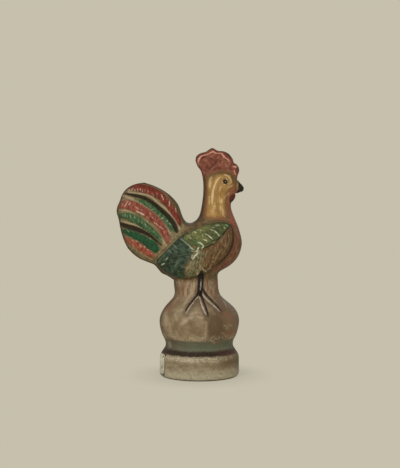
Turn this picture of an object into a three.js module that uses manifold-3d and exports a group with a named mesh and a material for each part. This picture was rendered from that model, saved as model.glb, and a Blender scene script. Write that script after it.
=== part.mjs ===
// A chalkware rooster: a folk bird of painted plaster, standing on a ball and a turned foot.
// It is cast hollow in two halves, right and left, which are luted along the bird's middle plane
// with plaster slip and closed underneath by a poured plug. A filler patch hides the joint where
// it runs down the back of the foot.
// Units are millimetres, +Z is up, the beak points along +X, and the origin is the middle of the
// foot's underside. The bird's right side is at -Y.

import * as THREE from 'three';
import { mergeVertices } from 'three/addons/utils/BufferGeometryUtils.js';
import Module from 'manifold-3d';

const wasm = await Module();
wasm.setup();

// Casting sizes
const WALL = 5; // plaster thickness of each half
const GAP = 0.3; // clearance between pieces that meet
const SLIP_THICKNESS = 1; // the slip between the two halves
const BEAD_THICKNESS = 2.4; // the strip of slip smeared along the inside of the joint
const BEAD_WIDTH = 12;
const THINNEST_CORE = 1.2; // the hollow ends where it would be narrower than this
const HOLLOW_TOP = 6.4; // where the hollow would end in a bird without walls, along its spine

// Turned foot
const DRUM_RADIUS = 28.8;
const DRUM_HEIGHT = 17;
const DRUM_EDGE = 2.2; // rounding at the foot's lower edge
const GROOVE_RADIUS = 24.3;
const GROOVE_HEIGHT = 12;
const BALL_RADIUS = 28.8;
const BALL_HEIGHT = 31;
const COLUMN_RADIUS = 15.9;
const COLUMN_HEIGHT = 9;
const COLUMN_LEAN = -2.6; // the column stands a little behind the foot's middle

// Plug and patch
const PLUG_THICKNESS = 6;
const PLUG_LEDGE = 1.2; // how far the plug's seat is let into the wall
const PATCH_WIDTH = 18;
const PATCH_DEPTH = 2.2; // at the middle of the patch
const PATCH_BOTTOM = 1.6;

// Bird: half depths, from the middle plane to the flank
const BODY_DEPTH = 21;
const SHOULDER_DEPTH = 17.5;
const NECK_DEPTH = 9.4;
const HEAD_DEPTH = 9.6;
const COMB_DEPTH = 3.6;
const TAIL_DEPTH = 5.4;

// Relief that stands on the casting
const SINK = 1.5; // how deep the relief's root is buried
const WING_RELIEF = 1.5;
const FEATHER_RELIEF = 0.9;
const FEATHER_WIDTH = 5.2;
const LEG_WIDTH = 4.4;
const LEG_RELIEF = 1.9;
const TOE_WIDTH = 2.2;
const TOE_RELIEF = 0.9;
const EYE_RADIUS = 1.7;
const EYE_RELIEF = 0.8;
const EYE_RING_RADIUS = 3.6;
const EYE_RING_RELIEF = 0.5;
const BEAK_LENGTH = 8.7;
const BEAK_TALLNESS = 12; // across its root, which is buried in the head
const BEAK_BREADTH = 8;
const WATTLE_RADIUS = 4.4;
const WATTLE_DEPTH = 3.4;

// Fineness of the faceted surfaces
const RIB_STEP = 1 / 4; // of one stretch of the spine
const FAN_STEPS = 2;
const RIB_POINTS = 8;
const RING_POINTS = 16;
const RING_STEP = 1 / 3; // of one stretch of the spine
const LOOK_UP_STEPS = 24; // to each stretch of a curve that is looked up
const LEAST_EDGE = 0.03; // shorter edges are drawn together after the cuts
const LEAST_HEIGHT = 0.006; // thinner triangles are cleared away after the cuts

const seatHeight = DRUM_HEIGHT + GROOVE_HEIGHT + BALL_HEIGHT + COLUMN_HEIGHT;

// The foot's outline from the floor up, as [radius, height]
function footOutline() {
  const edge = DRUM_EDGE;
  const cove = DRUM_RADIUS - GROOVE_RADIUS;
  const brow = BALL_RADIUS - GROOVE_RADIUS;
  const swell = BALL_RADIUS - COLUMN_RADIUS;
  const ballFoot = DRUM_HEIGHT + GROOVE_HEIGHT;
  const ballTop = ballFoot + BALL_HEIGHT;
  return [
    [DRUM_RADIUS - 0.7 * edge, 0],
    [DRUM_RADIUS - 0.25 * edge, 0.5 * edge],
    [DRUM_RADIUS, 1.5 * edge],
    [DRUM_RADIUS, 0.5 * DRUM_HEIGHT],
    [DRUM_RADIUS - 0.03 * cove, 0.8 * DRUM_HEIGHT],
    [DRUM_RADIUS - 0.25 * cove, 0.95 * DRUM_HEIGHT],
    [GROOVE_RADIUS + 0.4 * cove, DRUM_HEIGHT + 0.12 * GROOVE_HEIGHT],
    [GROOVE_RADIUS + 0.1 * cove, DRUM_HEIGHT + 0.3 * GROOVE_HEIGHT],
    [GROOVE_RADIUS, DRUM_HEIGHT + 0.48 * GROOVE_HEIGHT],
    [GROOVE_RADIUS + 0.08 * brow, DRUM_HEIGHT + 0.67 * GROOVE_HEIGHT],
    [GROOVE_RADIUS + 0.3 * brow, DRUM_HEIGHT + 0.85 * GROOVE_HEIGHT],
    [GROOVE_RADIUS + 0.56 * brow, ballFoot + 0.02 * BALL_HEIGHT],
    [GROOVE_RADIUS + 0.76 * brow, ballFoot + 0.11 * BALL_HEIGHT],
    [GROOVE_RADIUS + 0.96 * brow, ballFoot + 0.24 * BALL_HEIGHT],
    [BALL_RADIUS, ballFoot + 0.37 * BALL_HEIGHT],
    [COLUMN_RADIUS + 0.91 * swell, ballFoot + 0.51 * BALL_HEIGHT],
    [COLUMN_RADIUS + 0.7 * swell, ballFoot + 0.65 * BALL_HEIGHT],
    [COLUMN_RADIUS + 0.39 * swell, ballFoot + 0.78 * BALL_HEIGHT],
    [COLUMN_RADIUS + 0.17 * swell, ballFoot + 0.87 * BALL_HEIGHT],
    [COLUMN_RADIUS + 0.04 * swell, ballFoot + 0.96 * BALL_HEIGHT],
    [COLUMN_RADIUS, ballTop + 0.22 * COLUMN_HEIGHT],
    [COLUMN_RADIUS, ballTop + 0.6 * COLUMN_HEIGHT],
    [COLUMN_RADIUS, seatHeight],
  ];
}

// The bird is drawn from its seat, the middle of the column's top, as x forwards and z up.
// Its spine runs from the seat to the comb, as [x, z, half depth, squareness of the section].
const BELLY = [0.6, 23, BODY_DEPTH, 2]; // where the tail springs from
const SPINE = [
  [0, 0, COLUMN_RADIUS, 2],
  [0.4, 10, 0.45 * COLUMN_RADIUS + 0.55 * BODY_DEPTH, 2],
  BELLY,
  [7.6, 35, SHOULDER_DEPTH, 2],
  [13.6, 45, 0.25 * SHOULDER_DEPTH + 0.75 * NECK_DEPTH, 2],
  [14.9, 55, NECK_DEPTH, 2],
  [17.1, 67.5, HEAD_DEPTH, 2.1],
  [16.6, 79, 0.2 * HEAD_DEPTH + 0.8 * COMB_DEPTH, 2.3],
  [13.6, 86.5, COMB_DEPTH, 2.6],
];
const TAIL_SPINE = [
  BELLY,
  [-13.4, 29, 0.45 * BODY_DEPTH + 0.55 * TAIL_DEPTH, 2],
  [-26.4, 37, 0.08 * BODY_DEPTH + 0.92 * TAIL_DEPTH, 2.4],
  [-38.4, 45, TAIL_DEPTH, 2.8],
];
const spineEnd = SPINE.length - 1;
const tailRoot = SPINE.indexOf(BELLY);
const tailEnd = TAIL_SPINE.length - 1;

// The outline in the middle plane, in stretches. Each point is [x, z, place along the spine].
const BREAST_AND_FACE = [
  [COLUMN_RADIUS, 0, 0], [COLUMN_RADIUS - 0.3, 3.8, 0.35], [COLUMN_RADIUS + 0.5, 6, 0.6],
  [20.1, 7.6, 0.85], [24.6, 9.7, 1.15], [29.3, 13.8, 1.5],
  [32.4, 18.9, 1.85], [34.1, 25.4, 2.2], [33.4, 30.6, 2.5], [31.7, 36.5, 2.9], [29.9, 41.1, 3.3],
  [27.9, 45.7, 3.75], [26.3, 50, 4.3], [25.6, 53.5, 4.7], [26.1, 55.9, 5], [27.2, 59.1, 5.3],
  [29.1, 62.4, 5.6], [29.9, 66, 5.88], [30.3, 70, 6.15], [30.4, 73.5, 6.4], [31, 75.5, 6.55],
  [32, 78.1, 6.75], [31.7, 81, 6.95], [30.1, 83.2, 7.15], [28.1, 84.3, 7.35],
  [27.2, 87, 7.6], [25.4, 89.6, 7.85], [24, 91, 8],
];
const COMB_CREST = [
  [24, 91], [21.8, 92.1], [19.2, 92.8], [16.9, 92.8], [14.7, 93.7], [12.2, 94.9], [9.9, 93.9],
  [7.5, 92.2], [5.1, 91.6], [2.7, 90.7], [0.4, 88.7], [-0.2, 85.8],
];
const NAPE = [
  [-0.2, 85.8, 8], [1.2, 82, 7.6], [3.4, 79, 7.2], [4.6, 76, 6.8], [5.5, 71.5, 6.4],
  [5.8, 66.5, 5.95], [5.6, 61, 5.5], [4.8, 55, 4.95], [3.8, 49.6, 4.3], [2.5, 45.3, 3.6],
  [-0.1, 42.4, 2.8], [-3.5, 41, 2],
];
const TAIL_TOP = [
  [-3.5, 41, 0], [-6.8, 41.6, 0.35], [-9.4, 44.1, 0.7], [-10.9, 48.4, 1.05], [-12.6, 53.6, 1.45],
  [-15.7, 57.9, 1.85], [-19.6, 61.6, 2.2], [-24.9, 65.1, 2.55], [-31.1, 68, 2.82],
  [-37.4, 70, 3],
];
const TAIL_TIP = [
  [-37.4, 70], [-42.4, 69.3], [-47.1, 67.6], [-50.7, 65], [-53.3, 61.4], [-55, 56.8],
  [-56.8, 52.6], [-57.2, 48.8], [-55.9, 44.5], [-55, 39.6], [-53.8, 34.2], [-52, 28.8],
  [-49.4, 23.4],
];
const TAIL_BELOW = [
  [-49.4, 23.4, 3], [-45.7, 19.4, 2.8], [-40.8, 15.8, 2.45], [-35, 13.3, 2], [-30.4, 11.3, 1.55],
  [-27.5, 8.2, 1.1], [-24.9, 5.3, 0.75], [-21.5, 3.6, 0.4], [-18.6, 1.9, 0],
];
const RUMP = [
  [-18.6, 1.9, 2],
  [-COLUMN_RADIUS - 0.8, 0.5, 1.2],
  [-COLUMN_RADIUS, 0, 0],
];
// The back of the hollow, which closes off the solid tail and then follows the nape
const HOLLOW_BACK = [
  [-COLUMN_RADIUS, 0, 0], [-19, 9, 0.9], [-20, 20, 1.5], [-14, 31, 2], [-6, 39, 2.5],
  ...[...NAPE].reverse().slice(1, 8),
];

// Relief outlines, drawn from the seat like the bird
const WING_UPPER = [
  [-29.6, 13.4], [-28.6, 19.2], [-22.6, 26], [-15.4, 32.4], [-9, 36.2], [-1, 39.4], [8, 41.6],
  [17, 42.2], [23.4, 40.2],
];
const WING_MIDRIB = [[-29.6, 13.4], [-15, 16.8], [-4, 22], [7, 29.4], [16, 35.6], [23.4, 40.2]];
const WING_LOWER = [
  [-29.6, 13.4], [-26.4, 9], [-19.5, 6], [-9, 4.6], [2, 5.6], [11, 9.4], [18.6, 16],
  [23.6, 25], [24.8, 34], [23.4, 40.2],
];
const FEATHERS = [
  [[-45, 63.6], [-36, 65.2], [-27, 61.4], [-20, 55.6], [-15.2, 48.4], [-12.4, 43]],
  [[-47.6, 59.2], [-38.4, 59], [-29.6, 54.4], [-22.2, 47.6], [-17, 39.8]],
  [[-53, 53.8], [-43, 53.6], [-33.4, 48.6], [-25.6, 41.4], [-20.6, 33]],
  [[-53, 44.4], [-44.6, 43.8], [-36.4, 39.4], [-29.6, 33], [-25.8, 28]],
  [[-51.8, 33.6], [-42.6, 31.6], [-33.8, 26.6], [-28.6, 22.6]],
  [[-48.4, 27.2], [-41.4, 23.6], [-34.8, 19.2]],
];
const LEG = [[0, 8], [0.2, 2], [0.2, -4], [0.2, -9.4]];
const TOES = [
  [[0.2, -7.4], [-4, -12.2], [-8.4, -16.6], [-11.7, -20.2]],
  [[0.2, -8.4], [1.2, -13.6], [2.4, -18.2], [3.8, -22.6]],
  [[0.2, -5.4], [5, -10], [9.8, -15.2], [14.2, -20]],
];
const EYE = [20.1, 71.6];
const BEAK_ROOT = [27.2, 68.1];
const BEAK_DROOP = 2.4; // how far the tip lies below the root
const WATTLE = [26.2, 59.6];

// Points of a Catmull-Rom curve through rows of any width, steps to each stretch
function spline(knots, steps) {
  const first = knots[0].map((value, i) => 2 * value - knots[1][i]);
  const last = knots.at(-1).map((value, i) => 2 * value - knots.at(-2)[i]);
  const padded = [first, ...knots, last];
  const points = [];
  for (let k = 1; k < padded.length - 2; k++) {
    for (let step = 0; step < steps; step++) {
      const t = step / steps;
      points.push(
        padded[k].map((b, i) => {
          const a = padded[k - 1][i];
          const c = padded[k + 1][i];
          const d = padded[k + 2][i];
          const square = 2 * a - 5 * b + 4 * c - d;
          const cube = 3 * b - a - 3 * c + d;
          return 0.5 * (2 * b + (c - a) * t + square * t * t + cube * t * t * t);
        }),
      );
    }
  }
  points.push([...knots.at(-1)]);
  return points;
}

// The row of a dense table at a place, between its two neighbours. Each row closes with its place.
function rowAt(table, place) {
  const sorted = [...table].sort((p, q) => p.at(-1) - q.at(-1));
  const above = sorted.findIndex((row) => row.at(-1) >= place - 1e-9);
  if (above < 0) return sorted.at(-1);
  if (above === 0) return sorted[0];
  const [p, q] = [sorted[above - 1], sorted[above]];
  const share = (place - p.at(-1)) / (q.at(-1) - p.at(-1) || 1);
  return p.map((entry, i) => entry + share * (q[i] - entry));
}

// A spine as a dense table that closes each row with its place
function spineTable(spine) {
  return spline(spine, LOOK_UP_STEPS).map((row, i) => [...row, i / LOOK_UP_STEPS]);
}

const spineRows = spineTable(SPINE);
const tailRows = spineTable(TAIL_SPINE);

// A point that is drawn from the seat, as [x, z] from the part's origin
const fromSeat = ([x, z]) => [x + COLUMN_LEAN, z + seatHeight];

// One rib of the surface: a quarter ellipse from the outline to the spine
function rib(edge, spineRow) {
  return {
    edge: fromSeat(edge),
    spine: fromSeat(spineRow),
    depth: spineRow[2],
    squareness: spineRow[3],
  };
}

// Ribs of one stretch of outline, at evenly stepped places along its spine
function strip(outline, rows, from, to) {
  const table = spline(outline, LOOK_UP_STEPS);
  const count = Math.round(Math.abs(to - from) / RIB_STEP);
  const ribs = [];
  for (let i = 0; i <= count; i++) {
    const place = from + ((to - from) * i) / count;
    ribs.push(rib(rowAt(table, place), rowAt(rows, place)));
  }
  return ribs;
}

// Ribs that fan round the spine's end
function fan(outline, rows, place) {
  return spline(outline, FAN_STEPS).map((edge) => rib(edge, rowAt(rows, place)));
}

// The foot's axis leans back to the column's middle as it rises
function footAxis(height) {
  const ballTop = seatHeight - COLUMN_HEIGHT;
  return COLUMN_LEAN * THREE.MathUtils.smoothstep(height, 0.75 * ballTop, seatHeight);
}

// Ribs of the foot, whose sections are circles, on the front (+1) or the back (-1)
function footRibs(side) {
  return spline(footOutline(), 1).map(([radius, height]) => ({
    edge: [footAxis(height) + side * radius, height],
    spine: [footAxis(height), height],
    depth: radius,
    squareness: 2,
  }));
}

// All the ribs, round the outline from the foot's front to its back
function allRibs() {
  const parts = [
    footRibs(1),
    strip(BREAST_AND_FACE, spineRows, 0, spineEnd),
    fan(COMB_CREST, spineRows, spineEnd),
    strip(NAPE, spineRows, spineEnd, tailRoot),
    strip(TAIL_TOP, tailRows, 0, tailEnd),
    fan(TAIL_TIP, tailRows, tailEnd),
    strip(TAIL_BELOW, tailRows, tailEnd, 0),
    strip(RUMP, spineRows, tailRoot, 0),
    footRibs(-1).reverse(),
  ];
  return parts.flatMap((part, i) => (i ? part.slice(1) : part));
}

// The points of one rib, from the outline at depth 0 to the spine at full depth
function ribPoints({ edge, spine, depth, squareness }) {
  const points = [];
  for (let i = 0; i < RIB_POINTS; i++) {
    const inward = 1 - Math.cos((Math.PI / 2) * (i / (RIB_POINTS - 1)));
    const outward = 1 - inward;
    points.push([
      edge[0] + (spine[0] - edge[0]) * inward,
      depth * (1 - outward ** squareness) ** (1 / squareness),
      edge[1] + (spine[1] - edge[1]) * inward,
    ]);
  }
  return points;
}

const surface = allRibs().map(ribPoints);

// A solid from a list of triangles, each three [x, y, z] points
function solidOf(triangles) {
  const geometry = new THREE.BufferGeometry();
  const positions = new Float32Array(triangles.flat(2));
  geometry.setAttribute('position', new THREE.BufferAttribute(positions, 3));
  return solidOfGeometry(geometry);
}

// A three.js geometry as a solid, turned right side out
function solidOfGeometry(geometry) {
  const bare = geometry.clone();
  bare.deleteAttribute('normal');
  bare.deleteAttribute('uv');
  const merged = mergeVertices(bare, 1e-4);
  const corners = merged.index.array;
  const triVerts = [];
  for (let i = 0; i < corners.length; i += 3) {
    const [a, b, c] = corners.slice(i, i + 3);
    if (a !== b && b !== c && c !== a) triVerts.push(a, b, c);
  }
  return new wasm.Manifold(
    new wasm.Mesh({
      numProp: 3,
      vertProperties: merged.attributes.position.array,
      triVerts: new Uint32Array(triVerts),
    }),
  );
}

// The two triangles of a four-cornered face
function quad(a, b, c, d) {
  return [
    [a, b, c],
    [a, c, d],
  ];
}

// Triangles between neighbouring rows of points. They face the way that the turn from a row's own
// direction to the direction of the next row would drive a right-handed screw.
function skin(rows) {
  const triangles = [];
  for (let i = 0; i + 1 < rows.length; i++) {
    for (let j = 0; j + 1 < rows[i].length; j++) {
      const face = quad(rows[i][j], rows[i][j + 1], rows[i + 1][j + 1], rows[i + 1][j]);
      triangles.push(...face);
    }
  }
  return triangles;
}

const mirrored = (triangles) =>
  triangles.map(([a, b, c]) => [a, c, b].map(([x, y, z]) => [x, -y, z]));

// The bird and its foot as one solid, before it is hollowed and parted
function plainFigure() {
  const left = skin(surface);
  const sole = [];
  const front = surface[0];
  const back = surface.at(-1);
  const rim = [...front, ...[...back].reverse().slice(1)].map(([x, y]) => [x, y, 0]);
  for (let i = 0; i + 1 < rim.length; i++) {
    const [p, q] = [rim[i], rim[i + 1]];
    const [pm, qm] = [p, q].map(([x, y]) => [x, -y, 0]);
    sole.push(...quad(q, p, pm, qm));
  }
  return solidOf([...left, ...mirrored(left), ...sole]);
}

// Depth of the plain casting behind a point of the side view, or 0 outside its outline
const sideTriangles = skin(surface).filter(([a, b, c]) => a !== b && b !== c);
function depthAt(x, z) {
  let deepest = 0;
  for (const [a, b, c] of sideTriangles) {
    const area = (b[0] - a[0]) * (c[2] - a[2]) - (c[0] - a[0]) * (b[2] - a[2]);
    if (Math.abs(area) < 1e-9) continue;
    const v = ((x - a[0]) * (c[2] - a[2]) - (c[0] - a[0]) * (z - a[2])) / area;
    const w = ((b[0] - a[0]) * (z - a[2]) - (x - a[0]) * (b[2] - a[2])) / area;
    if (v < -1e-6 || w < -1e-6 || v + w > 1 + 1e-6) continue;
    deepest = Math.max(deepest, a[1] + v * (b[1] - a[1]) + w * (c[1] - a[1]));
  }
  return deepest;
}

// A raised patch on the left flank: place(u, v) gives its [x, z] from the seat, raise(u, v) its
// height above the casting, both for u and v from 0 to 1
function relief(columns, rows, place, raise) {
  const outer = [];
  const inner = [];
  for (let i = 0; i <= columns; i++) {
    outer.push([]);
    inner.push([]);
    for (let j = 0; j <= rows; j++) {
      const [u, v] = [i / columns, j / rows];
      const [x, z] = fromSeat(place(u, v));
      const depth = depthAt(x, z);
      outer[i].push([x, depth + raise(u, v), z]);
      inner[i].push([x, depth - SINK, z]);
    }
  }
  const flipped = inner.map((row) => [...row].reverse());
  const rim = [
    [outer[0], inner[0]],
    [outer.map((row) => row.at(-1)), inner.map((row) => row.at(-1))],
    [[...outer.at(-1)].reverse(), [...inner.at(-1)].reverse()],
    [outer.map((row) => row[0]).reverse(), inner.map((row) => row[0]).reverse()],
  ];
  const walls = rim.flatMap(([top, bottom]) => skin([bottom, top]));
  return solidOf([...skin(outer), ...skin(flipped), ...walls]);
}

// A leaf between two edges that share their ends, with a midrib between them. It stops a little
// short of its tips, which are left blunt.
function leafPlace(lower, midrib, upper) {
  const curves = [lower, midrib, upper].map((points) =>
    new THREE.SplineCurve(points.map(([x, z]) => new THREE.Vector2(x, z))));
  return (u, v) => {
    const [low, middle, high] = curves.map((curve) => curve.getPointAt(0.02 + 0.96 * u));
    const target = v < 0.5 ? low : high;
    const reach = Math.abs(2 * v - 1);
    return [middle.x + (target.x - middle.x) * reach, middle.y + (target.y - middle.y) * reach];
  };
}

// A band of a given width along a line, narrowing to its ends
function bandPlace(points, width, taper) {
  const curve = new THREE.SplineCurve(points.map(([x, z]) => new THREE.Vector2(x, z)));
  return (u, v) => {
    const at = curve.getPointAt(u);
    const along = curve.getTangentAt(u);
    const half = 0.5 * width * taper(u);
    const across = (2 * v - 1) * half;
    return [at.x - along.y * across, at.y + along.x * across];
  };
}

const dome = (v) => Math.sqrt(Math.max(0, 1 - (2 * v - 1) ** 2));

function wing() {
  const place = leafPlace(WING_LOWER, WING_MIDRIB, WING_UPPER);
  const midribGroove = (v) => 0.45 * Math.exp(-(((v - 0.5) / 0.06) ** 2));
  return relief(16, 8, place, (u, v) =>
    WING_RELIEF * (0.55 + 0.45 * dome(v) - midribGroove(v)) * (0.35 + 0.65 * dome(u)));
}

function feather(points) {
  const place = bandPlace(points, FEATHER_WIDTH, (u) => 0.3 + 0.7 * dome(u) ** 0.7);
  return relief(8, 4, place, (u, v) => FEATHER_RELIEF * (0.25 + 0.75 * dome(v)));
}

function leg() {
  const place = bandPlace(LEG, LEG_WIDTH, (u) => 0.6 + 0.4 * dome(0.5 * u + 0.15));
  return relief(6, 6, place, (u, v) => LEG_RELIEF * (0.2 + 0.8 * dome(v)));
}

function toe(points) {
  const place = bandPlace(points, TOE_WIDTH, (u) => 1 - 0.65 * u);
  return relief(6, 4, place, (u, v) => TOE_RELIEF * (0.2 + 0.8 * dome(v)) * (1 - 0.45 * u));
}

// The eye is a flat ring with a domed pupil, turned as one and let into the side of the head
function eye() {
  const outline = [
    [0, -SINK],
    [EYE_RING_RADIUS, -SINK],
    [EYE_RING_RADIUS, 0.4 * EYE_RING_RELIEF],
    [0.8 * EYE_RING_RADIUS, EYE_RING_RELIEF],
    [1.2 * EYE_RADIUS, 0.8 * EYE_RING_RELIEF],
    [0.9 * EYE_RADIUS, EYE_RING_RELIEF + 0.3 * EYE_RELIEF],
    [0.5 * EYE_RADIUS, EYE_RING_RELIEF + 0.85 * EYE_RELIEF],
    [0, EYE_RING_RELIEF + EYE_RELIEF],
  ];
  const turned = new THREE.LatheGeometry(outline.map((point) => new THREE.Vector2(...point)), 14);
  const [x, z] = fromSeat(EYE);
  turned.translate(x, depthAt(x, z), z);
  return solidOfGeometry(turned);
}

function beak() {
  const outline = [];
  const steps = 8;
  for (let i = 0; i <= steps; i++) {
    const along = i / steps;
    outline.push(new THREE.Vector2((BEAK_TALLNESS / 2) * (1 - along) ** 0.8, BEAK_LENGTH * along));
  }
  const cone = new THREE.LatheGeometry([new THREE.Vector2(0, 0), ...outline], 14);
  const [x, z] = fromSeat(BEAK_ROOT);
  cone.rotateZ(-Math.PI / 2);
  cone.scale(1, BEAK_BREADTH / BEAK_TALLNESS, 1);
  cone.rotateY(Math.atan2(BEAK_DROOP, BEAK_LENGTH));
  cone.translate(x, 0, z);
  return solidOfGeometry(cone);
}

function wattle() {
  const lobe = new THREE.SphereGeometry(1, 14, 10);
  lobe.scale(0.62 * WATTLE_RADIUS, WATTLE_DEPTH, WATTLE_RADIUS);
  const [x, z] = fromSeat(WATTLE);
  lobe.translate(x, 0, z);
  return solidOfGeometry(lobe);
}

// The whole outer form without the relief of its flanks
function bareFigure() {
  return plainFigure().add(beak()).add(wattle());
}

// What stands on the left flank
function flankRelief() {
  const solids = [
    wing(),
    ...FEATHERS.map(feather),
    leg(),
    ...TOES.map(toe),
    eye(),
  ];
  return solids.reduce((joined, solid) => joined.add(solid));
}

// A closed tube through rings of points, each ring as [x, y, z] rows
function tube(rings) {
  const wrapped = rings.map((ring) => [...ring, ring[0]]);
  const cap = (ring, turn) => {
    const middle = ring[0].map((_, i) => ring.reduce((sum, p) => sum + p[i], 0) / ring.length);
    return ring.map((p, i) => {
      const q = ring[(i + 1) % ring.length];
      return turn ? [q, p, middle] : [p, q, middle];
    });
  };
  return solidOf([...skin(wrapped), ...cap(rings[0], true), ...cap(rings.at(-1), false)]);
}

// The hollow that a wall of the given thickness leaves, open through the foot's underside
function hollow(wall) {
  const shrink = (edge, spine) => {
    const [dx, dz] = [edge[0] - spine[0], edge[1] - spine[1]];
    const reach = Math.hypot(dx, dz);
    const left = Math.max(THINNEST_CORE, reach - wall) / reach;
    return [spine[0] + dx * left, spine[1] + dz * left];
  };
  const ring = (front, back, spine, depth) => {
    const points = [];
    for (let i = 0; i < RING_POINTS; i++) {
      const angle = (2 * Math.PI * i) / RING_POINTS;
      const edge = Math.cos(angle) >= 0 ? front : back;
      const reach = Math.abs(Math.cos(angle));
      points.push([
        spine[0] + (edge[0] - spine[0]) * reach,
        depth * Math.sin(angle),
        spine[1] + (edge[1] - spine[1]) * reach,
      ]);
    }
    return points;
  };
  const rings = [];
  const below = -2 * GAP; // the hollow runs out through the sole
  const levels = [[DRUM_RADIUS, below], ...footOutline().slice(1, -1)];
  for (const [radius, height] of levels) {
    const middle = [footAxis(height), height];
    const front = shrink([middle[0] + radius, height], middle);
    const back = shrink([middle[0] - radius, height], middle);
    rings.push(ring(front, back, middle, radius - wall));
  }
  const fronts = spline(BREAST_AND_FACE, LOOK_UP_STEPS);
  const backs = spline(HOLLOW_BACK, LOOK_UP_STEPS);
  const stretch = (SPINE[spineEnd][1] - SPINE[0][1]) / spineEnd;
  const top = HOLLOW_TOP - wall / stretch;
  const count = Math.round(top / RING_STEP);
  for (let i = 0; i <= count; i++) {
    const place = (top * i) / count;
    const spineRow = rowAt(spineRows, place);
    const depth = spineRow[2] - wall;
    const front = rowAt(fronts, place);
    const back = rowAt(backs, place);
    const halfWidth = 0.5 * Math.hypot(front[0] - back[0], front[1] - back[1]) - wall;
    if (Math.min(depth, halfWidth) < THINNEST_CORE) break;
    const spine = fromSeat(spineRow);
    const [frontEdge, backEdge] = [front, back].map((edge) => shrink(fromSeat(edge), spine));
    rings.push(ring(frontEdge, backEdge, spine, depth));
  }
  return tube(rings);
}

// A box between two opposite corners
function block(low, high) {
  const size = high.map((value, i) => value - low[i]);
  const box = new THREE.BoxGeometry(...size);
  box.translate(...low.map((value, i) => value + size[i] / 2));
  return solidOfGeometry(box);
}

// An upright cylinder on the foot's axis
function disc(radius, bottom, top) {
  const cylinder = new THREE.CylinderGeometry(radius, radius, top - bottom, 48);
  cylinder.rotateX(Math.PI / 2);
  cylinder.translate(0, 0, (bottom + top) / 2);
  return solidOfGeometry(cylinder);
}

const FAR = 4 * seatHeight; // further than the figure reaches
const plugRadius = DRUM_RADIUS - WALL + PLUG_LEDGE;

// The slot that the filler patch fills, or the patch itself when drawn in by a clearance
function patchBlock(clearance) {
  const halfWidth = PATCH_WIDTH / 2 - clearance;
  return block(
    [-FAR, -halfWidth, PATCH_BOTTOM + clearance],
    [-(DRUM_RADIUS - PATCH_DEPTH) - clearance, halfWidth, DRUM_HEIGHT - clearance],
  );
}

const figure = bareFigure();
const seat = disc(plugRadius, -GAP, PLUG_THICKNESS);

// The left casting: the right one is its mirror image
function leftHalf() {
  const outside = block([-FAR, SLIP_THICKNESS / 2 + GAP, -FAR], [FAR, FAR, FAR]);
  return figure.add(flankRelief()).subtract(hollow(WALL)).subtract(seat)
    .subtract(patchBlock(0)).intersect(outside);
}

// The slip between the halves, with the bead smeared along the inside of the joint
function seamSlip() {
  const sheet = block([-FAR, -SLIP_THICKNESS / 2, 0], [FAR, SLIP_THICKNESS / 2, FAR]);
  const band = block([-FAR, -BEAD_WIDTH / 2, 0], [FAR, BEAD_WIDTH / 2, FAR]);
  const bead = hollow(WALL + GAP).intersect(band);
  const core = hollow(WALL + GAP + BEAD_THICKNESS);
  const clearSeat = disc(plugRadius + GAP, -GAP, PLUG_THICKNESS + GAP);
  return figure.intersect(sheet).add(bead).subtract(core).subtract(clearSeat)
    .subtract(patchBlock(0));
}

function basePlug() {
  return disc(plugRadius - GAP, 0, PLUG_THICKNESS - GAP);
}

function backPatch() {
  return figure.intersect(patchBlock(GAP));
}

// The mesh of a solid as points and faces, for the clearing of slivers
class Mending {
  constructor(solid) {
    const made = solid.getMesh();
    const [values, corners] = [made.vertProperties, made.triVerts];
    this.points = [];
    for (let i = 0; i < values.length; i += 3) {
      this.points.push(new THREE.Vector3(...values.slice(i, i + 3)));
    }
    this.faces = [];
    for (let i = 0; i < corners.length; i += 3) this.faces.push([...corners.slice(i, i + 3)]);
  }

  distance(a, b) {
    return this.points[a].distanceTo(this.points[b]);
  }

  // A face's height over its longest edge
  height(face) {
    const [a, b, c] = face.map((corner) => this.points[corner]);
    const area = b.clone().sub(a).cross(c.clone().sub(a)).length();
    return area / Math.max(a.distanceTo(b), b.distanceTo(c), c.distanceTo(a));
  }

  around(vertex) {
    const near = this.faces.filter((face) => face.includes(vertex));
    return new Set(near.flat().filter((corner) => corner !== vertex));
  }

  // Draws an edge together, onto the end that lies nearer to the joint face
  collapse(a, b) {
    const shared = [...this.around(a)].filter((vertex) => this.around(b).has(vertex));
    if (shared.length !== 2) return false;
    const depth = (vertex) => Math.abs(this.points[vertex].y);
    const [kept, gone] = depth(a) <= depth(b) ? [a, b] : [b, a];
    this.faces = this.faces
      .map((face) => face.map((corner) => (corner === gone ? kept : corner)))
      .filter(([p, q, r]) => p !== q && q !== r && r !== p);
    return true;
  }

  // Turns a thin face's longest edge to the other diagonal of the two faces that share it
  turn(face) {
    const edges = face.map((corner, i) => [corner, face[(i + 1) % 3], face[(i + 2) % 3]]);
    edges.sort((e, f) => this.distance(f[0], f[1]) - this.distance(e[0], e[1]));
    const [p, q, r] = edges[0];
    const other = this.faces.find((f) => f !== face && f.includes(p) && f.includes(q));
    const s = other.find((corner) => corner !== p && corner !== q);
    if (this.around(r).has(s)) return false;
    const pair = [[p, s, r], [s, q, r]];
    const worst = Math.min(...pair.map((f) => this.height(f)));
    if (worst <= this.height(face)) return false;
    this.faces = this.faces.filter((f) => f !== face && f !== other).concat(pair);
    return true;
  }

  mendOne() {
    for (const face of this.faces) {
      for (let i = 0; i < 3; i++) {
        const [a, b] = [face[i], face[(i + 1) % 3]];
        if (this.distance(a, b) < LEAST_EDGE && this.collapse(a, b)) return true;
      }
      if (this.height(face) < LEAST_HEIGHT && this.turn(face)) return true;
    }
    return false;
  }
}

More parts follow.
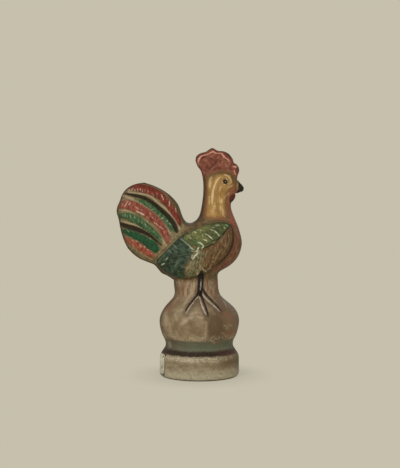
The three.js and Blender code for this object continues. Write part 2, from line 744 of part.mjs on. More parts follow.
// A solid as a three.js geometry, without the slivers that the cuts leave
function geometryOf(solid) {
  const mesh = new Mending(solid);
  while (mesh.mendOne());
  const positions = mesh.faces.flat().flatMap((corner) => mesh.points[corner].toArray());
  const geometry = new THREE.BufferGeometry();
  geometry.setAttribute('position', new THREE.BufferAttribute(new Float32Array(positions), 3));
  return mergeVertices(geometry, 1e-5);
}

// The same geometry on the other side of the middle plane
function otherSide(geometry) {
  const other = geometry.clone();
  other.scale(1, -1, 1);
  const corners = other.index.array;
  for (let i = 0; i < corners.length; i += 3) {
    [corners[i + 1], corners[i + 2]] = [corners[i + 2], corners[i + 1]];
  }
  return other;
}

// A named mesh with a material of its own
function meshOf(name, geometry, finish) {
  geometry.computeVertexNormals();
  const mesh = new THREE.Mesh(geometry, new THREE.MeshStandardMaterial(finish));
  mesh.name = name;
  return mesh;
}

const painted = { color: 0x8a7455, roughness: 0.5, metalness: 0 };
const bare = { color: 0xc9c2ac, roughness: 0.85, metalness: 0 };
const left = geometryOf(leftHalf());
const rooster = new THREE.Group();
rooster.name = 'chalkware_rooster';
rooster.add(
  meshOf('right_half', otherSide(left), painted),
  meshOf('left_half', left, painted),
  meshOf('seam_slip', geometryOf(seamSlip()), bare),
  meshOf('base_plug', geometryOf(basePlug()), bare),
  meshOf('back_patch', geometryOf(backPatch()), bare),
);

export default rooster;
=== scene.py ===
# %% [markdown]
# A chalkware rooster.
# Chalkware is plaster of Paris, cast hollow in a mould of two halves, painted by hand in thin
# water colours and varnished. This lesson dresses a plain model of such a bird. The bird's form is
# computed as a surface, its relief is pressed into that surface as a mould would press it, and its
# paint is laid on stroke by stroke. All lengths are in millimetres until a mesh is written.

# %% Load the plain model
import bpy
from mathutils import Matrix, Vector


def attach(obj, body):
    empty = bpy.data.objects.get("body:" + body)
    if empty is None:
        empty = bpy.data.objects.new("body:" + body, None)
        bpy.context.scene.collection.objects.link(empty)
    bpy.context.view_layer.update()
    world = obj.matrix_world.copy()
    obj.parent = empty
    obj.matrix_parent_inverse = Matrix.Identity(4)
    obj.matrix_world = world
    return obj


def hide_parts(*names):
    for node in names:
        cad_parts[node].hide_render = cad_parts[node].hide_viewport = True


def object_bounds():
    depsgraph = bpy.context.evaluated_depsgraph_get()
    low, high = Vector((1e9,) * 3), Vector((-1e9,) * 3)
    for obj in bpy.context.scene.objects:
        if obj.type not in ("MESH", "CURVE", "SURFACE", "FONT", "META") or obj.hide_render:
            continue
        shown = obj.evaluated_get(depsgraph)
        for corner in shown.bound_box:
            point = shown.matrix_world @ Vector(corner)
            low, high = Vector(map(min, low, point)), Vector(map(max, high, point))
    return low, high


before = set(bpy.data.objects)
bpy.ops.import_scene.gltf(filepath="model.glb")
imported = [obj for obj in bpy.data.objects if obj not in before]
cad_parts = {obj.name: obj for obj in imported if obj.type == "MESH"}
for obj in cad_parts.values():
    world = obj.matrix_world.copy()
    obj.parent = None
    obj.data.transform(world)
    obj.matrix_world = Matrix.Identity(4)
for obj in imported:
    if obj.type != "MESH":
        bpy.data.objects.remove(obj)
cad_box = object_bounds()
print("plain model, low and high corners in metres:", cad_box)

# %% Libraries and units
import math

import bpy
import numpy as np
from mathutils import Vector
from mathutils.bvhtree import BVHTree

MM = 0.001
scene = bpy.context.scene
scene.view_settings.view_transform = "Standard"

# %% [markdown]
# The camera comes first, because the painted strokes are later thrown onto the bird through it.
# The picture shows the bird's right side from a little behind, with the lens about level with its
# head: the foot is seen from slightly above, so its lower rim looks round.

# %% Camera
PICTURE_WIDTH, PICTURE_HEIGHT = 400, 468
MM_PER_PIXEL = 0.72
LENS_DISTANCE = 750.0
LENS_HEIGHT = 135.0
LENS_TURN = math.radians(12.0)
SENSOR_WIDTH = 36.0
AIM = np.array([0.5, 0.0, 102.0])

lens_place = np.array([
    -LENS_DISTANCE * math.sin(LENS_TURN),
    -LENS_DISTANCE * math.cos(LENS_TURN),
    LENS_HEIGHT,
])
forward = (AIM - lens_place) / np.linalg.norm(AIM - lens_place)
rightward = np.cross(forward, [0, 0, 1])
rightward /= np.linalg.norm(rightward)
upward = np.cross(rightward, forward)

camera = bpy.data.objects.new("camera", bpy.data.cameras.new("camera"))
camera.location = Vector(lens_place * MM)
camera.rotation_euler = Vector(forward).to_track_quat("-Z", "Y").to_euler()
camera.data.sensor_fit = "HORIZONTAL"
camera.data.sensor_width = SENSOR_WIDTH
camera.data.lens = SENSOR_WIDTH * LENS_DISTANCE / (PICTURE_WIDTH * MM_PER_PIXEL)
camera.data.clip_start = 0.05
scene.collection.objects.link(camera)
scene.camera = camera
print("lens length", round(camera.data.lens, 1), "mm")

# %% [markdown]
# The form of the bird. Its outline in the middle plane and a spine along its flank are drawn as
# knots. Ribs run from the outline to the spine, and each rib is a quarter of an ellipse, so the
# surface rises steeply from the joint and lies flat at the flank. The foot is turned: its ribs are
# quarter circles about its axis.

# %% Driving sizes of the form
DRUM_RADIUS = 28.8
DRUM_HEIGHT = 17.0
DRUM_EDGE = 2.2
GROOVE_RADIUS = 24.3
GROOVE_HEIGHT = 12.0
BALL_RADIUS = 28.8
BALL_HEIGHT = 31.0
COLUMN_RADIUS = 15.9
COLUMN_HEIGHT = 9.0
COLUMN_LEAN = -2.6
BODY_DEPTH = 21.0
SHOULDER_DEPTH = 17.5
NECK_DEPTH = 9.4
HEAD_DEPTH = 9.6
COMB_DEPTH = 3.6
TAIL_DEPTH = 5.4
BALL_FOOT = DRUM_HEIGHT + GROOVE_HEIGHT
BALL_TOP = BALL_FOOT + BALL_HEIGHT
SEAT = BALL_TOP + COLUMN_HEIGHT
print("the bird's seat is", SEAT, "mm above the floor")

# %% The turned foot's outline, as radius and height
cove = DRUM_RADIUS - GROOVE_RADIUS
brow = BALL_RADIUS - GROOVE_RADIUS
swell = BALL_RADIUS - COLUMN_RADIUS


def turned(radius, swing, level, height, *shares):
    """Knots by pairs of shares: of a swing, added to a radius, and of a height over a level."""
    return [(radius + across * swing, level + up * height) for across, up in shares]


FOOT = np.array([
    *turned(DRUM_RADIUS, -DRUM_EDGE, 0, DRUM_EDGE, (0.7, 0), (0.25, 0.5), (0, 1.5)),
    *turned(DRUM_RADIUS, -cove, 0, DRUM_HEIGHT, (0, 0.5), (0.03, 0.8), (0.25, 0.95)),
    *turned(GROOVE_RADIUS, cove, DRUM_HEIGHT, GROOVE_HEIGHT, (0.4, 0.12), (0.1, 0.3), (0, 0.48)),
    *turned(GROOVE_RADIUS, brow, DRUM_HEIGHT, GROOVE_HEIGHT, (0.08, 0.67), (0.3, 0.85)),
    *turned(GROOVE_RADIUS, brow, BALL_FOOT, BALL_HEIGHT, (0.56, 0.02), (0.76, 0.11), (0.96, 0.24)),
    (BALL_RADIUS, BALL_FOOT + 0.37 * BALL_HEIGHT),
    *turned(COLUMN_RADIUS, swell, BALL_FOOT, BALL_HEIGHT, (0.91, 0.51), (0.7, 0.65), (0.39, 0.78),
            (0.17, 0.87), (0.04, 0.96)),
    *turned(COLUMN_RADIUS, 0, BALL_TOP, COLUMN_HEIGHT, (0, 0.22), (0, 0.6), (0, 1)),
])
print("foot outline:", len(FOOT), "knots")

# %% The bird's spine and outline, drawn from its seat
# A spine knot is x, z, half depth and squareness of the rib's ellipse.
SPINE = [
    (0, 0, COLUMN_RADIUS, 2), (0.4, 10, 0.45 * COLUMN_RADIUS + 0.55 * BODY_DEPTH, 2),
    (0.6, 23, BODY_DEPTH, 2), (7.6, 35, SHOULDER_DEPTH, 2),
    (13.6, 45, 0.25 * SHOULDER_DEPTH + 0.75 * NECK_DEPTH, 2), (14.9, 55, NECK_DEPTH, 2),
    (17.1, 67.5, HEAD_DEPTH, 2.1), (16.6, 79, 0.2 * HEAD_DEPTH + 0.8 * COMB_DEPTH, 2.3),
    (13.6, 86.5, COMB_DEPTH, 2.6),
]
TAIL_ROOT = 2
TAIL_SPINE = [
    SPINE[TAIL_ROOT], (-13.4, 29, 0.45 * BODY_DEPTH + 0.55 * TAIL_DEPTH, 2),
    (-26.4, 37, 0.08 * BODY_DEPTH + 0.92 * TAIL_DEPTH, 2.4), (-38.4, 45, TAIL_DEPTH, 2.8),
]
SPINE_END, TAIL_END = len(SPINE) - 1, len(TAIL_SPINE) - 1
# An outline knot is x, z and the place along the spine that its rib runs to.
BREAST_AND_FACE = [
    (COLUMN_RADIUS, 0, 0), (COLUMN_RADIUS - 0.3, 3.8, 0.35), (COLUMN_RADIUS + 0.5, 6, 0.6),
    (20.1, 7.6, 0.85), (24.6, 9.7, 1.15), (29.3, 13.8, 1.5), (32.4, 18.9, 1.85),
    (34.1, 25.4, 2.2), (33.4, 30.6, 2.5), (31.7, 36.5, 2.9), (29.9, 41.1, 3.3),
    (27.9, 45.7, 3.75), (26.3, 50, 4.3), (25.6, 53.5, 4.7), (26.1, 55.9, 5), (27.2, 59.1, 5.3),
    (29.1, 62.4, 5.6), (29.9, 66, 5.88), (30.3, 70, 6.15), (30.4, 73.5, 6.4), (31, 75.5, 6.55),
    (32, 78.1, 6.75), (31.7, 81, 6.95), (30.1, 83.2, 7.15), (28.1, 84.3, 7.35),
    (27.2, 87, 7.6), (25.4, 89.6, 7.85), (24, 91, 8),
]
COMB_CREST = [
    (24, 91), (21.8, 92.1), (19.2, 92.8), (16.9, 92.8), (14.7, 93.7), (12.2, 94.9),
    (9.9, 93.9), (7.5, 92.2), (5.1, 91.6), (2.7, 90.7), (0.4, 88.7), (-0.2, 85.8),
]
NAPE = [
    (-0.2, 85.8, 8), (1.2, 82, 7.6), (3.4, 79, 7.2), (4.6, 76, 6.8), (5.5, 71.5, 6.4),
    (5.8, 66.5, 5.95), (5.6, 61, 5.5), (4.8, 55, 4.95), (3.8, 49.6, 4.3), (2.5, 45.3, 3.6),
    (-0.1, 42.4, 2.8), (-3.5, 41, 2),
]
TAIL_TOP = [
    (-3.5, 41, 0), (-6.8, 41.6, 0.35), (-9.4, 44.1, 0.7), (-10.9, 48.4, 1.05),
    (-12.6, 53.6, 1.45), (-15.7, 57.9, 1.85), (-19.6, 61.6, 2.2), (-24.9, 65.1, 2.55),
    (-31.1, 68, 2.82), (-37.4, 70, 3),
]
TAIL_TIP = [
    (-37.4, 70), (-42.4, 69.3), (-47.1, 67.6), (-50.7, 65), (-53.3, 61.4), (-55, 56.8),
    (-56.8, 52.6), (-57.2, 48.8), (-55.9, 44.5), (-55, 39.6), (-53.8, 34.2), (-52, 28.8),
    (-49.4, 23.4),
]
TAIL_BELOW = [
    (-49.4, 23.4, 3), (-45.7, 19.4, 2.8), (-40.8, 15.8, 2.45), (-35, 13.3, 2),
    (-30.4, 11.3, 1.55), (-27.5, 8.2, 1.1), (-24.9, 5.3, 0.75), (-21.5, 3.6, 0.4),
    (-18.6, 1.9, 0),
]
RUMP = [(-18.6, 1.9, 2), (-COLUMN_RADIUS - 0.8, 0.5, 1.2), (-COLUMN_RADIUS, 0, 0)]
print("spine knots", len(SPINE), "and", len(TAIL_SPINE))

# %% Smooth curves through knots, and tables to look them up in
LOOK_UP_STEPS = 24


def curve_through(knots, steps):
    """A Catmull-Rom curve through rows of knots. Between knots b and c, whose outer neighbours are
    a and d, a point is half of 2b + (c-a)t + (2a-5b+4c-d)t^2 + (3b-a-3c+d)t^3."""
    rows = np.asarray(knots, float)
    padded = np.vstack([2 * rows[0] - rows[1], rows, 2 * rows[-1] - rows[-2]])
    a, b, c, d = (padded[k:len(padded) - 3 + k, None, :] for k in range(4))
    t = (np.arange(steps) / steps)[None, :, None]
    square = 2 * a - 5 * b + 4 * c - d
    cube = 3 * b - a - 3 * c + d
    points = 0.5 * (2 * b + (c - a) * t + square * t**2 + cube * t**3)
    return np.vstack([points.reshape(-1, rows.shape[1]), rows[-1]])


def look_up(table, key, values):
    """Rows of a table at given values of its key column, between the neighbouring rows."""
    rows = table[np.argsort(table[:, key], kind="stable")]
    return np.stack([np.interp(values, rows[:, key], column) for column in rows.T], axis=1)


def spine_table(knots):
    """The spine's curve with each point's place, counted in knots, as a last column."""
    curve = curve_through(knots, LOOK_UP_STEPS)
    return np.column_stack([curve, np.arange(len(curve)) / LOOK_UP_STEPS])


spine_rows, tail_rows = spine_table(SPINE), spine_table(TAIL_SPINE)
print("spine table", spine_rows.shape, "tail table", tail_rows.shape)

# %% [markdown]
# Ribs are gathered as rows of six numbers: the outline's x and z, the spine's x and z, the half
# depth and the squareness. They go once round the outline, from the foot's front over the breast,
# comb, nape and tail to the foot's back. At the comb and the tail tip they fan out from the
# spine's end.

# %% Ribs round the whole outline
RIBS_PER_STRETCH = 24
RIBS_PER_FAN_KNOT = 7
RIBS_PER_FOOT_KNOT = 8


def strip(outline, spine, start, end):
    """Ribs at even places along a spine, each to the outline point that names the same place."""
    places = np.linspace(start, end, round(abs(end - start) * RIBS_PER_STRETCH) + 1)
    edge = look_up(curve_through(outline, LOOK_UP_STEPS), 2, places)[:, :2]
    return np.hstack([edge, look_up(spine, 4, places)[:, :4]])


def fan(outline, spine):
    """Ribs that all run to the spine's last point."""
    edge = curve_through(outline, RIBS_PER_FAN_KNOT)
    return np.hstack([edge, np.repeat(spine[-1:, :4], len(edge), axis=0)])


def smooth_step(value, low, high):
    """0 below low, 1 above high and 3s^2 - 2s^3 between, where s is the share of the way."""
    share = np.clip((value - low) / (high - low), 0, 1)
    return share * share * (3 - 2 * share)


def foot_ribs(side):
    """Quarter circles about the foot's axis, which leans back to the column as it rises."""
    radius, height = curve_through(FOOT, RIBS_PER_FOOT_KNOT).T
    height = np.clip(height, 0, SEAT)
    axis = COLUMN_LEAN * smooth_step(height, 0.75 * BALL_TOP, SEAT)
    two = np.full_like(radius, 2.0)
    return np.column_stack([axis + side * radius, height, axis, height, radius, two])


def all_ribs():
    """Every rib once, in order round the outline."""
    bird = [
        strip(BREAST_AND_FACE, spine_rows, 0, SPINE_END), fan(COMB_CREST, spine_rows),
        strip(NAPE, spine_rows, SPINE_END, TAIL_ROOT), strip(TAIL_TOP, tail_rows, 0, TAIL_END),
        fan(TAIL_TIP, tail_rows), strip(TAIL_BELOW, tail_rows, TAIL_END, 0),
        strip(RUMP, spine_rows, TAIL_ROOT, 0),
    ]
    lifted = [rows + [COLUMN_LEAN, SEAT, COLUMN_LEAN, SEAT, 0, 0] for rows in bird]
    parts = [foot_ribs(1), *lifted, foot_ribs(-1)[::-1]]
    return np.vstack([parts[0], *[part[1:] for part in parts[1:]]])


ribs = all_ribs()
print("ribs:", len(ribs))

# %% [markdown]
# Each rib becomes a row of points. With c running from 0 at the outline to 1 at the spine, a point
# lies c of the way inwards and depth times (1 - (1-c)^n)^(1/n) out of the middle plane, where n is
# the squareness: 2 gives an ellipse.

# %% The left flank as a grid
RIB_POINTS = 84


def rib_grid(rows, count):
    """x, y and z of count points on each rib."""
    inward = 1 - np.cos(np.linspace(0, math.pi / 2, count))[None, :]
    edge_x, edge_z, spine_x, spine_z, depth, power = (column[:, None] for column in rows.T)
    x = edge_x + (spine_x - edge_x) * inward
    z = edge_z + (spine_z - edge_z) * inward
    y = depth * (1 - (1 - inward) ** power) ** (1 / power)
    return np.stack([x, y, z], axis=-1)


def grid_faces(rows, columns):
    """Two triangles for each cell of a grid of points, facing column step cross row step."""
    first = (np.arange(rows - 1)[:, None] * columns + np.arange(columns - 1)).ravel()
    a, b, c, d = first, first + 1, first + columns + 1, first + columns
    return np.vstack([np.stack([a, b, c], 1), np.stack([a, c, d], 1)])


flank_grid = rib_grid(ribs, RIB_POINTS)
print("flank grid", flank_grid.shape)

# %% [markdown]
# The mirrored flank and a sole close the figure. Points that coincide, on the outline, along the
# spine and at the fans, are merged, and triangles that this draws together are dropped.

# %% A closed figure
MERGE_CELL = 0.001
CELL_SHIFT = 0.3719


def merged(points, faces):
    """The same surface with coincident points shared and empty triangles left out. Points are
    coincident if they fall into one cell of a fine lattice, which is shifted off round numbers."""
    cells = np.floor(points / MERGE_CELL + CELL_SHIFT)
    _, kept, place = np.unique(cells, axis=0, return_index=True, return_inverse=True)
    faces = place.reshape(-1)[faces]
    a, b, c = faces.T
    return points[kept], faces[(a != b) & (b != c) & (c != a)]


def closed_figure(grid):
    """The flank, its mirror image and fans over the sole from the foot's middle."""
    rows, columns = grid.shape[:2]
    flank = grid.reshape(-1, 3)
    faces = grid_faces(rows, columns)
    count = len(flank)
    steps = np.arange(columns - 1)
    last = (rows - 1) * columns
    middle = np.full_like(steps, 2 * count)
    front = np.stack([middle, steps + 1, steps], 1)
    back = np.stack([middle, last + steps, last + steps + 1], 1)
    half = np.vstack([faces, front, back])
    other = np.where(half == 2 * count, 2 * count, half + count)[:, ::-1]
    points = np.vstack([flank, flank * [1, -1, 1], [[0, 0, 0]]])
    return merged(points, np.vstack([half, other]))


points, faces = closed_figure(flank_grid)
print("figure:", len(points), "points,", len(faces), "triangles")

# %% [markdown]
# Where the trunk's ribs hand over to the tail's, faint creases are left. They are relaxed away:
# each free point moves part of the way to the mean of its neighbours, a few dozen times. The
# outline and the turned foot are held.

# %% Relax the creases
RELAX_ROUNDS = 60


def neighbour_means(points, faces, values):
    """For each point the mean of a value over the points that share an edge with it."""
    ends = np.concatenate([faces.ravel(), np.roll(faces, -1, axis=1).ravel()])
    others = np.concatenate([np.roll(faces, -1, axis=1).ravel(), faces.ravel()])
    count = np.bincount(ends, minlength=len(points))
    total = [np.bincount(ends, column[others], len(points)) for column in values.T]
    return np.stack(total, axis=1) / count[:, None]


depth = np.abs(points[:, 1])
freedom = 0.5 * smooth_step(depth, 0.3, 3) * smooth_step(points[:, 2], SEAT - 4, SEAT + 8)
for _ in range(RELAX_ROUNDS):
    points = points + freedom[:, None] * (neighbour_means(points, faces, points) - points)
print("deepest flank now", round(points[:, 1].max(), 2), "mm")

# %% [markdown]
# The decoration was traced on the picture, so its strokes are lists of pixels. Each is thrown
# through the lens onto the bird's right flank, which gives its x and z on the bird. The same x and
# z serve the left flank, because the two castings are mirror images.

# %% From the picture onto the flank
ON_PLANE = 1e-6
near = points[:, 1] < ON_PLANE
near_faces = faces[near[faces].all(axis=1)]
flank_tree = BVHTree.FromPolygons(points.tolist(), near_faces.tolist())


def onto_flank(pixels):
    """x and z in millimetres of the flank behind each pixel. Off the bird, it is the place where
    the line of sight meets the middle plane."""
    places = []
    for px, py in np.asarray(pixels, float)[:, :2]:
        across = (px - PICTURE_WIDTH / 2) * MM_PER_PIXEL / LENS_DISTANCE
        rise = (PICTURE_HEIGHT / 2 - py) * MM_PER_PIXEL / LENS_DISTANCE
        sight = forward + across * rightward + rise * upward
        hit = flank_tree.ray_cast(Vector(lens_place), Vector(sight))[0]
        if hit is None:
            hit = lens_place + sight * (-lens_place[1] / sight[1])
        places.append((hit[0], hit[2]))
    return np.array(places)


print("the eye lies at", onto_flank([(225.4, 181.6)]).round(1))

# %% Strokes and patches
FAR = 12.0
NEAR = 2.0
SPOTS_AT_ONCE = 8000
TINY = 1e-12


class Stroke:
    """A band along a line, with a half width of its own at each place. Its knots are pixels with
    the band's full width in pixels."""

    def __init__(self, *knots):
        rows = np.array(knots, float)
        table = np.column_stack([onto_flank(rows), rows[:, 2] * MM_PER_PIXEL / 2])
        self.line = curve_through(table, 6)

    def measure(self, spots):
        """How far inside the band each spot lies, and its places along and across the line, all in
        millimetres. Spots outside are negative, and far ones get a fixed value."""
        inside, along, across = (np.full(len(spots), value) for value in (-FAR, 0.0, FAR))
        low = self.line[:, :2].min(axis=0) - FAR
        high = self.line[:, :2].max(axis=0) + FAR
        close = np.flatnonzero(((spots > low) & (spots < high)).all(axis=1))
        start, step = self.line[:-1, :2], np.diff(self.line[:, :2], axis=0)
        length = np.linalg.norm(step, axis=1)
        for part in np.array_split(close, max(1, len(close) // SPOTS_AT_ONCE)):
            gap = spots[part, None, :] - start[None]
            share = np.clip((gap * step).sum(-1) / length**2, 0, 1)
            gap = gap - share[..., None] * step
            best = (gap**2).sum(-1).argmin(1)
            row = np.arange(len(part))
            gap, share = gap[row, best], share[row, best]
            distance = np.linalg.norm(gap, axis=1)
            side = np.sign(step[best, 0] * gap[:, 1] - step[best, 1] * gap[:, 0])
            half = self.line[best, 2] + share * (self.line[best + 1, 2] - self.line[best, 2])
            inside[part] = np.maximum(half - distance, -FAR)
            along[part] = np.concatenate([[0], np.cumsum(length)])[best] + share * length[best]
            across[part] = side * distance
        return inside, along, across


class Patch:
    """An area inside a closed line whose corners are pixels, or inside a given loop."""

    def __init__(self, *corners, loop=None):
        if loop is None:
            loop = curve_through(onto_flank(np.array(corners + corners[:1], float)), 4)
        self.loop = loop

    def measure(self, spots):
        """Distance from the edge in millimetres, positive inside. A spot is inside where a line
        from it to the right crosses the edge an odd number of times."""
        distance = np.full(len(spots), np.inf)
        crossings = np.zeros(len(spots), int)
        for start, end in zip(self.loop[:-1], self.loop[1:]):
            step = end - start
            gap = spots - start
            share = np.clip(gap @ step / max(step @ step, TINY), 0, 1)
            distance = np.minimum(distance, np.linalg.norm(gap - share[:, None] * step, axis=1))
            if step[1] == 0:
                continue
            spans = (spots[:, 1] >= min(start[1], end[1])) & (spots[:, 1] < max(start[1], end[1]))
            meets = start[0] + step[0] * (spots[:, 1] - start[1]) / step[1]
            crossings += spans & (meets > spots[:, 0])
        return np.where(crossings % 2 == 1, distance, -distance)


class Dabs:
    """Short straight touches of a fine brush. A row is the pixels of a dab's two ends and its full
    width in pixels. A dab thins towards its ends by half its width."""

    def __init__(self, *rows):
        rows = np.array(rows, float)
        self.starts, self.ends = onto_flank(rows[:, :2]), onto_flank(rows[:, 2:4])
        self.halves = rows[:, 4] * MM_PER_PIXEL / 2

    def measure(self, spots):
        """How far inside the nearest dab each spot lies, down to -NEAR."""
        inside = np.full(len(spots), -NEAR)
        for start, end, half in zip(self.starts, self.ends, self.halves):
            low, high = np.minimum(start, end) - NEAR - half, np.maximum(start, end) + NEAR + half
            close = np.flatnonzero(((spots > low) & (spots < high)).all(axis=1))
            gap, step = spots[close] - start, end - start
            share = np.clip(gap @ step / max(step @ step, TINY), 0, 1)
            distance = np.linalg.norm(gap - share[:, None] * step, axis=1)
            thinned = half * (1 - 0.5 * (2 * share - 1) ** 2)
            inside[close] = np.maximum(inside[close], thinned - distance)
        return inside


print("a spot far from a stroke reads", -FAR, "and far from a dab", -NEAR)

# %% [markdown]
# The tail's feathers are bands of red and green between two deep dark grooves, with pale lines
# where the plaster's ground shows. Each knot below is a pixel and the band's width there.

# %% Tail feathers
LINES, AREAS = {}, {}
LINES["red"] = [Stroke(
    (130.6, 187.6, 5), (136, 187.6, 7.4), (143.9, 188.6, 8.2), (151, 190.6, 8.4),
    (158.2, 194.6, 8.2), (164.4, 199.8, 8), (169.9, 206.4, 7.2), (173.8, 212.2, 6.4),
    (177.2, 218.2, 5.2), (179.8, 224.6, 3))]
LINES["salmon"] = [Stroke(
    (126.8, 239, 3.4), (131.6, 242.2, 5.6), (139.8, 247, 6.8), (146.4, 251.6, 6.6),
    (151.8, 255.6, 4.8))]
LINES["rose"] = [Stroke(
    (120.8, 206, 5.4), (126.4, 204.6, 9), (133.7, 206.4, 9.6), (142.9, 210.8, 9.2),
    (151, 216.4, 8.8), (158.2, 222.8, 8.4), (163, 229.6, 7.6), (166.4, 236.4, 6),
    (168, 242.2, 3.2))]
LINES["green"] = [
    Stroke((134.7, 199, 1.4), (143.9, 202.4, 5), (151, 206.2, 6), (158.2, 211.2, 6.2),
           (163.5, 216.6, 6.2), (168.4, 223, 6), (172.4, 228.6, 5), (174.2, 231.6, 2.6)),
    Stroke((121.4, 215.4, 5.6), (129.6, 217, 8), (137.8, 220.6, 8.2), (145.9, 226.2, 7.6),
           (152.9, 232, 6.4), (158.6, 237.6, 4.8), (161.4, 241.2, 2.6))]
LINES["emerald"] = [Stroke(
    (124.2, 231, 4.4), (131.6, 233.6, 6.6), (139.8, 237.8, 7.8), (146.9, 242, 9),
    (152.8, 245.8, 10), (155.6, 248.6, 7.6))]
LINES["dark"] = [
    Stroke((125.6, 193.6, 0.8), (133.7, 195.3, 2.4), (140.8, 197, 2.8), (148, 199.9, 3),
           (155.1, 204.8, 3.2), (161.2, 210, 3.6), (167.3, 215.6, 3.8), (172.4, 221.6, 4.4),
           (175.3, 227, 4.4), (176.9, 231.6, 2.6)),
    Stroke((121.3, 224.4, 3), (127.2, 226.6, 4), (135.7, 229, 4.2), (142.9, 231.8, 3.6),
           (150, 235.6, 2.6), (156.1, 240.3, 2), (161.2, 244.8, 1))]
LINES["pale"] = [
    Stroke((119.4, 209.9, 1.2), (128.8, 211.1, 1.3), (135, 215.3, 1.1), (142, 219, 1.1),
           (149, 223.8, 1.1), (155.4, 231, 1.1), (160, 236.8, 1.1), (165.4, 243.2, 1.2)),
    Stroke((121.3, 221.1, 1.4), (128.8, 223, 1.6), (135, 224.9, 1.6), (141.3, 228, 1.6),
           (147.5, 231.8, 1.6), (153.8, 236.8, 1.4), (160, 243, 1.4)),
    Stroke((122.5, 195.5, 1.8), (136.3, 200.7, 1.5), (148.8, 209, 1.3), (157.5, 217.8, 1.3),
           (164, 224.8, 1.2), (170, 233, 1.6)),
    Stroke((128.8, 192.4, 1.6), (147.5, 195, 1.6), (154.4, 199.4, 1.8), (160.4, 204.7, 1.9),
           (167.5, 210.3, 2), (172.4, 216.3, 2), (176.5, 222.4, 2), (179, 228.6, 2.4))]
AREAS["tail"] = Patch(
    (110, 170), (150, 174), (186, 196), (186, 222), (184, 232), (176, 242), (167, 250), (159, 259),
    (152, 268), (110, 262), (104, 210))
AREAS["tail_back"] = Patch(
    (163, 190), (167, 195), (171, 201), (175, 207.6), (178.6, 214.6), (181, 222), (190, 226),
    (192, 208), (180, 186), (165, 180))
print("tail strokes:", sum(map(len, LINES.values())))

# %% Dabs over the tail feathers
DABS = {}
DABS["tail_bone"] = Dabs(
    (137.7, 191.9, 137.4, 188.4, 1.2), (140, 190.9, 140.4, 188, 1), (142.4, 192, 142.6, 189, 1.2),
    (144.6, 192.2, 144.8, 189.2, 0.9), (148.1, 193.8, 147.9, 190.4, 1.1),
    (151.6, 194.4, 151.6, 191.8, 0.8), (157.4, 196, 156.3, 192, 1.1),
    (161.1, 194.2, 163.4, 200, 1.7), (169.4, 199.8, 169.2, 206.8, 1.5),
    (175.4, 206.6, 175.9, 212.6, 1.3), (172, 205.6, 172.5, 208.6, 0.8),
    (166.3, 196.6, 167, 200, 0.8), (131, 190.8, 133.2, 187.4, 1.4),
    (134.6, 191.6, 135, 188.4, 1.2), (128.6, 191, 130, 188.8, 1.2),
    (154, 196.6, 153.2, 193.6, 0.8), (127.8, 201.2, 124.2, 207, 1.2),
    (130.7, 201.8, 128.6, 205.2, 1.3), (134.8, 206.2, 139.3, 209.9, 1.3),
    (136.6, 211.1, 140.4, 213.2, 2.2), (139.4, 212.4, 144.4, 215.4, 2.4),
    (145.5, 216.4, 148.6, 218.3, 0.9), (151.3, 216, 153.5, 219.2, 0.9),
    (153.6, 222, 158.6, 225.6, 1.5), (159.4, 226.2, 163, 229.2, 1.4),
    (163.6, 231, 164.7, 233.6, 1.3), (149.6, 212.2, 150.7, 214.2, 1),
    (165.8, 234.4, 166.4, 237, 0.8), (141, 209.5, 143.6, 211.3, 0.9),
    (121.6, 206, 123.4, 202.6, 0.8), (133.2, 203, 134.6, 204.8, 0.7),
    (146.8, 221.2, 148.6, 222.8, 0.7), (155.4, 219.4, 156.8, 221, 0.8),
    (136.2, 240.8, 136.9, 241.7, 1.3), (139.7, 244.8, 141.1, 247.2, 1.9),
    (143.9, 246, 144.9, 247.6, 1.7), (147, 249.3, 148.1, 250.5, 1.3),
    (131.9, 239.4, 132.9, 241.2, 1), (150.6, 252.7, 151.7, 254, 1))
DABS["tail_mint"] = Dabs(
    (151.2, 209.8, 154.4, 208.7, 1.4), (155.6, 212.8, 157.5, 211.7, 1),
    (161, 219, 163.6, 217.4, 1.6), (164.2, 215.6, 164.9, 213.4, 1),
    (165.9, 221.8, 167.9, 220.2, 1.1), (169, 223.4, 171.8, 225.4, 1.4),
    (158.5, 215.8, 160.1, 214.2, 0.9), (145.6, 202.6, 146.5, 204.8, 0.8),
    (149.8, 205.8, 150.7, 208, 0.8), (124.5, 213.6, 125.3, 217.4, 1.2),
    (129.9, 213.8, 130.9, 218.6, 1.3), (127.4, 215.4, 127.6, 219, 0.8),
    (133.9, 215.8, 135.4, 218.8, 1.2), (138, 219.4, 139.1, 222.2, 0.9),
    (141.4, 221.4, 142.3, 224, 0.9), (144.7, 222.8, 146.3, 227.4, 1.7),
    (147.4, 224.4, 148.3, 227.2, 0.9), (149.6, 227, 150.7, 229.6, 1),
    (153.1, 230.4, 154.7, 232.8, 0.9), (156.1, 233.4, 157.5, 235.6, 0.8),
    (159.5, 238.4, 160.7, 240.2, 1), (149.3, 238.1, 150.9, 239.5, 1.4),
    (122.6, 214.4, 122.9, 217, 0.8), (136.4, 200.2, 139.2, 201.8, 1),
    (140.2, 202.6, 142, 204.4, 0.8), (126.4, 229.8, 129, 231.6, 0.9))
DABS["tail_tan"] = Dabs(
    (132.2, 243.6, 133.9, 247.2, 1.5), (135.2, 247.4, 137.6, 250.8, 1.3),
    (140.3, 251.4, 142.2, 254, 1.1), (129.3, 241.4, 130.1, 244.2, 1.1),
    (161.1, 238.8, 164.7, 244.8, 1.4), (165.3, 244.6, 167.2, 246.4, 1.7),
    (163, 252, 163.5, 252.8, 1.4), (168.3, 243.2, 171.2, 240.2, 0.9),
    (173, 238.6, 176.2, 235.8, 0.9), (161.8, 249.8, 165.5, 246.7, 1),
    (179.4, 229.4, 180.2, 226.2, 1.2), (183.6, 227.2, 184, 229.4, 0.9),
    (144.6, 255.4, 147.4, 257.4, 1.1), (149.6, 258, 152.4, 259.6, 1), (158, 253, 160.4, 250.8, 1))
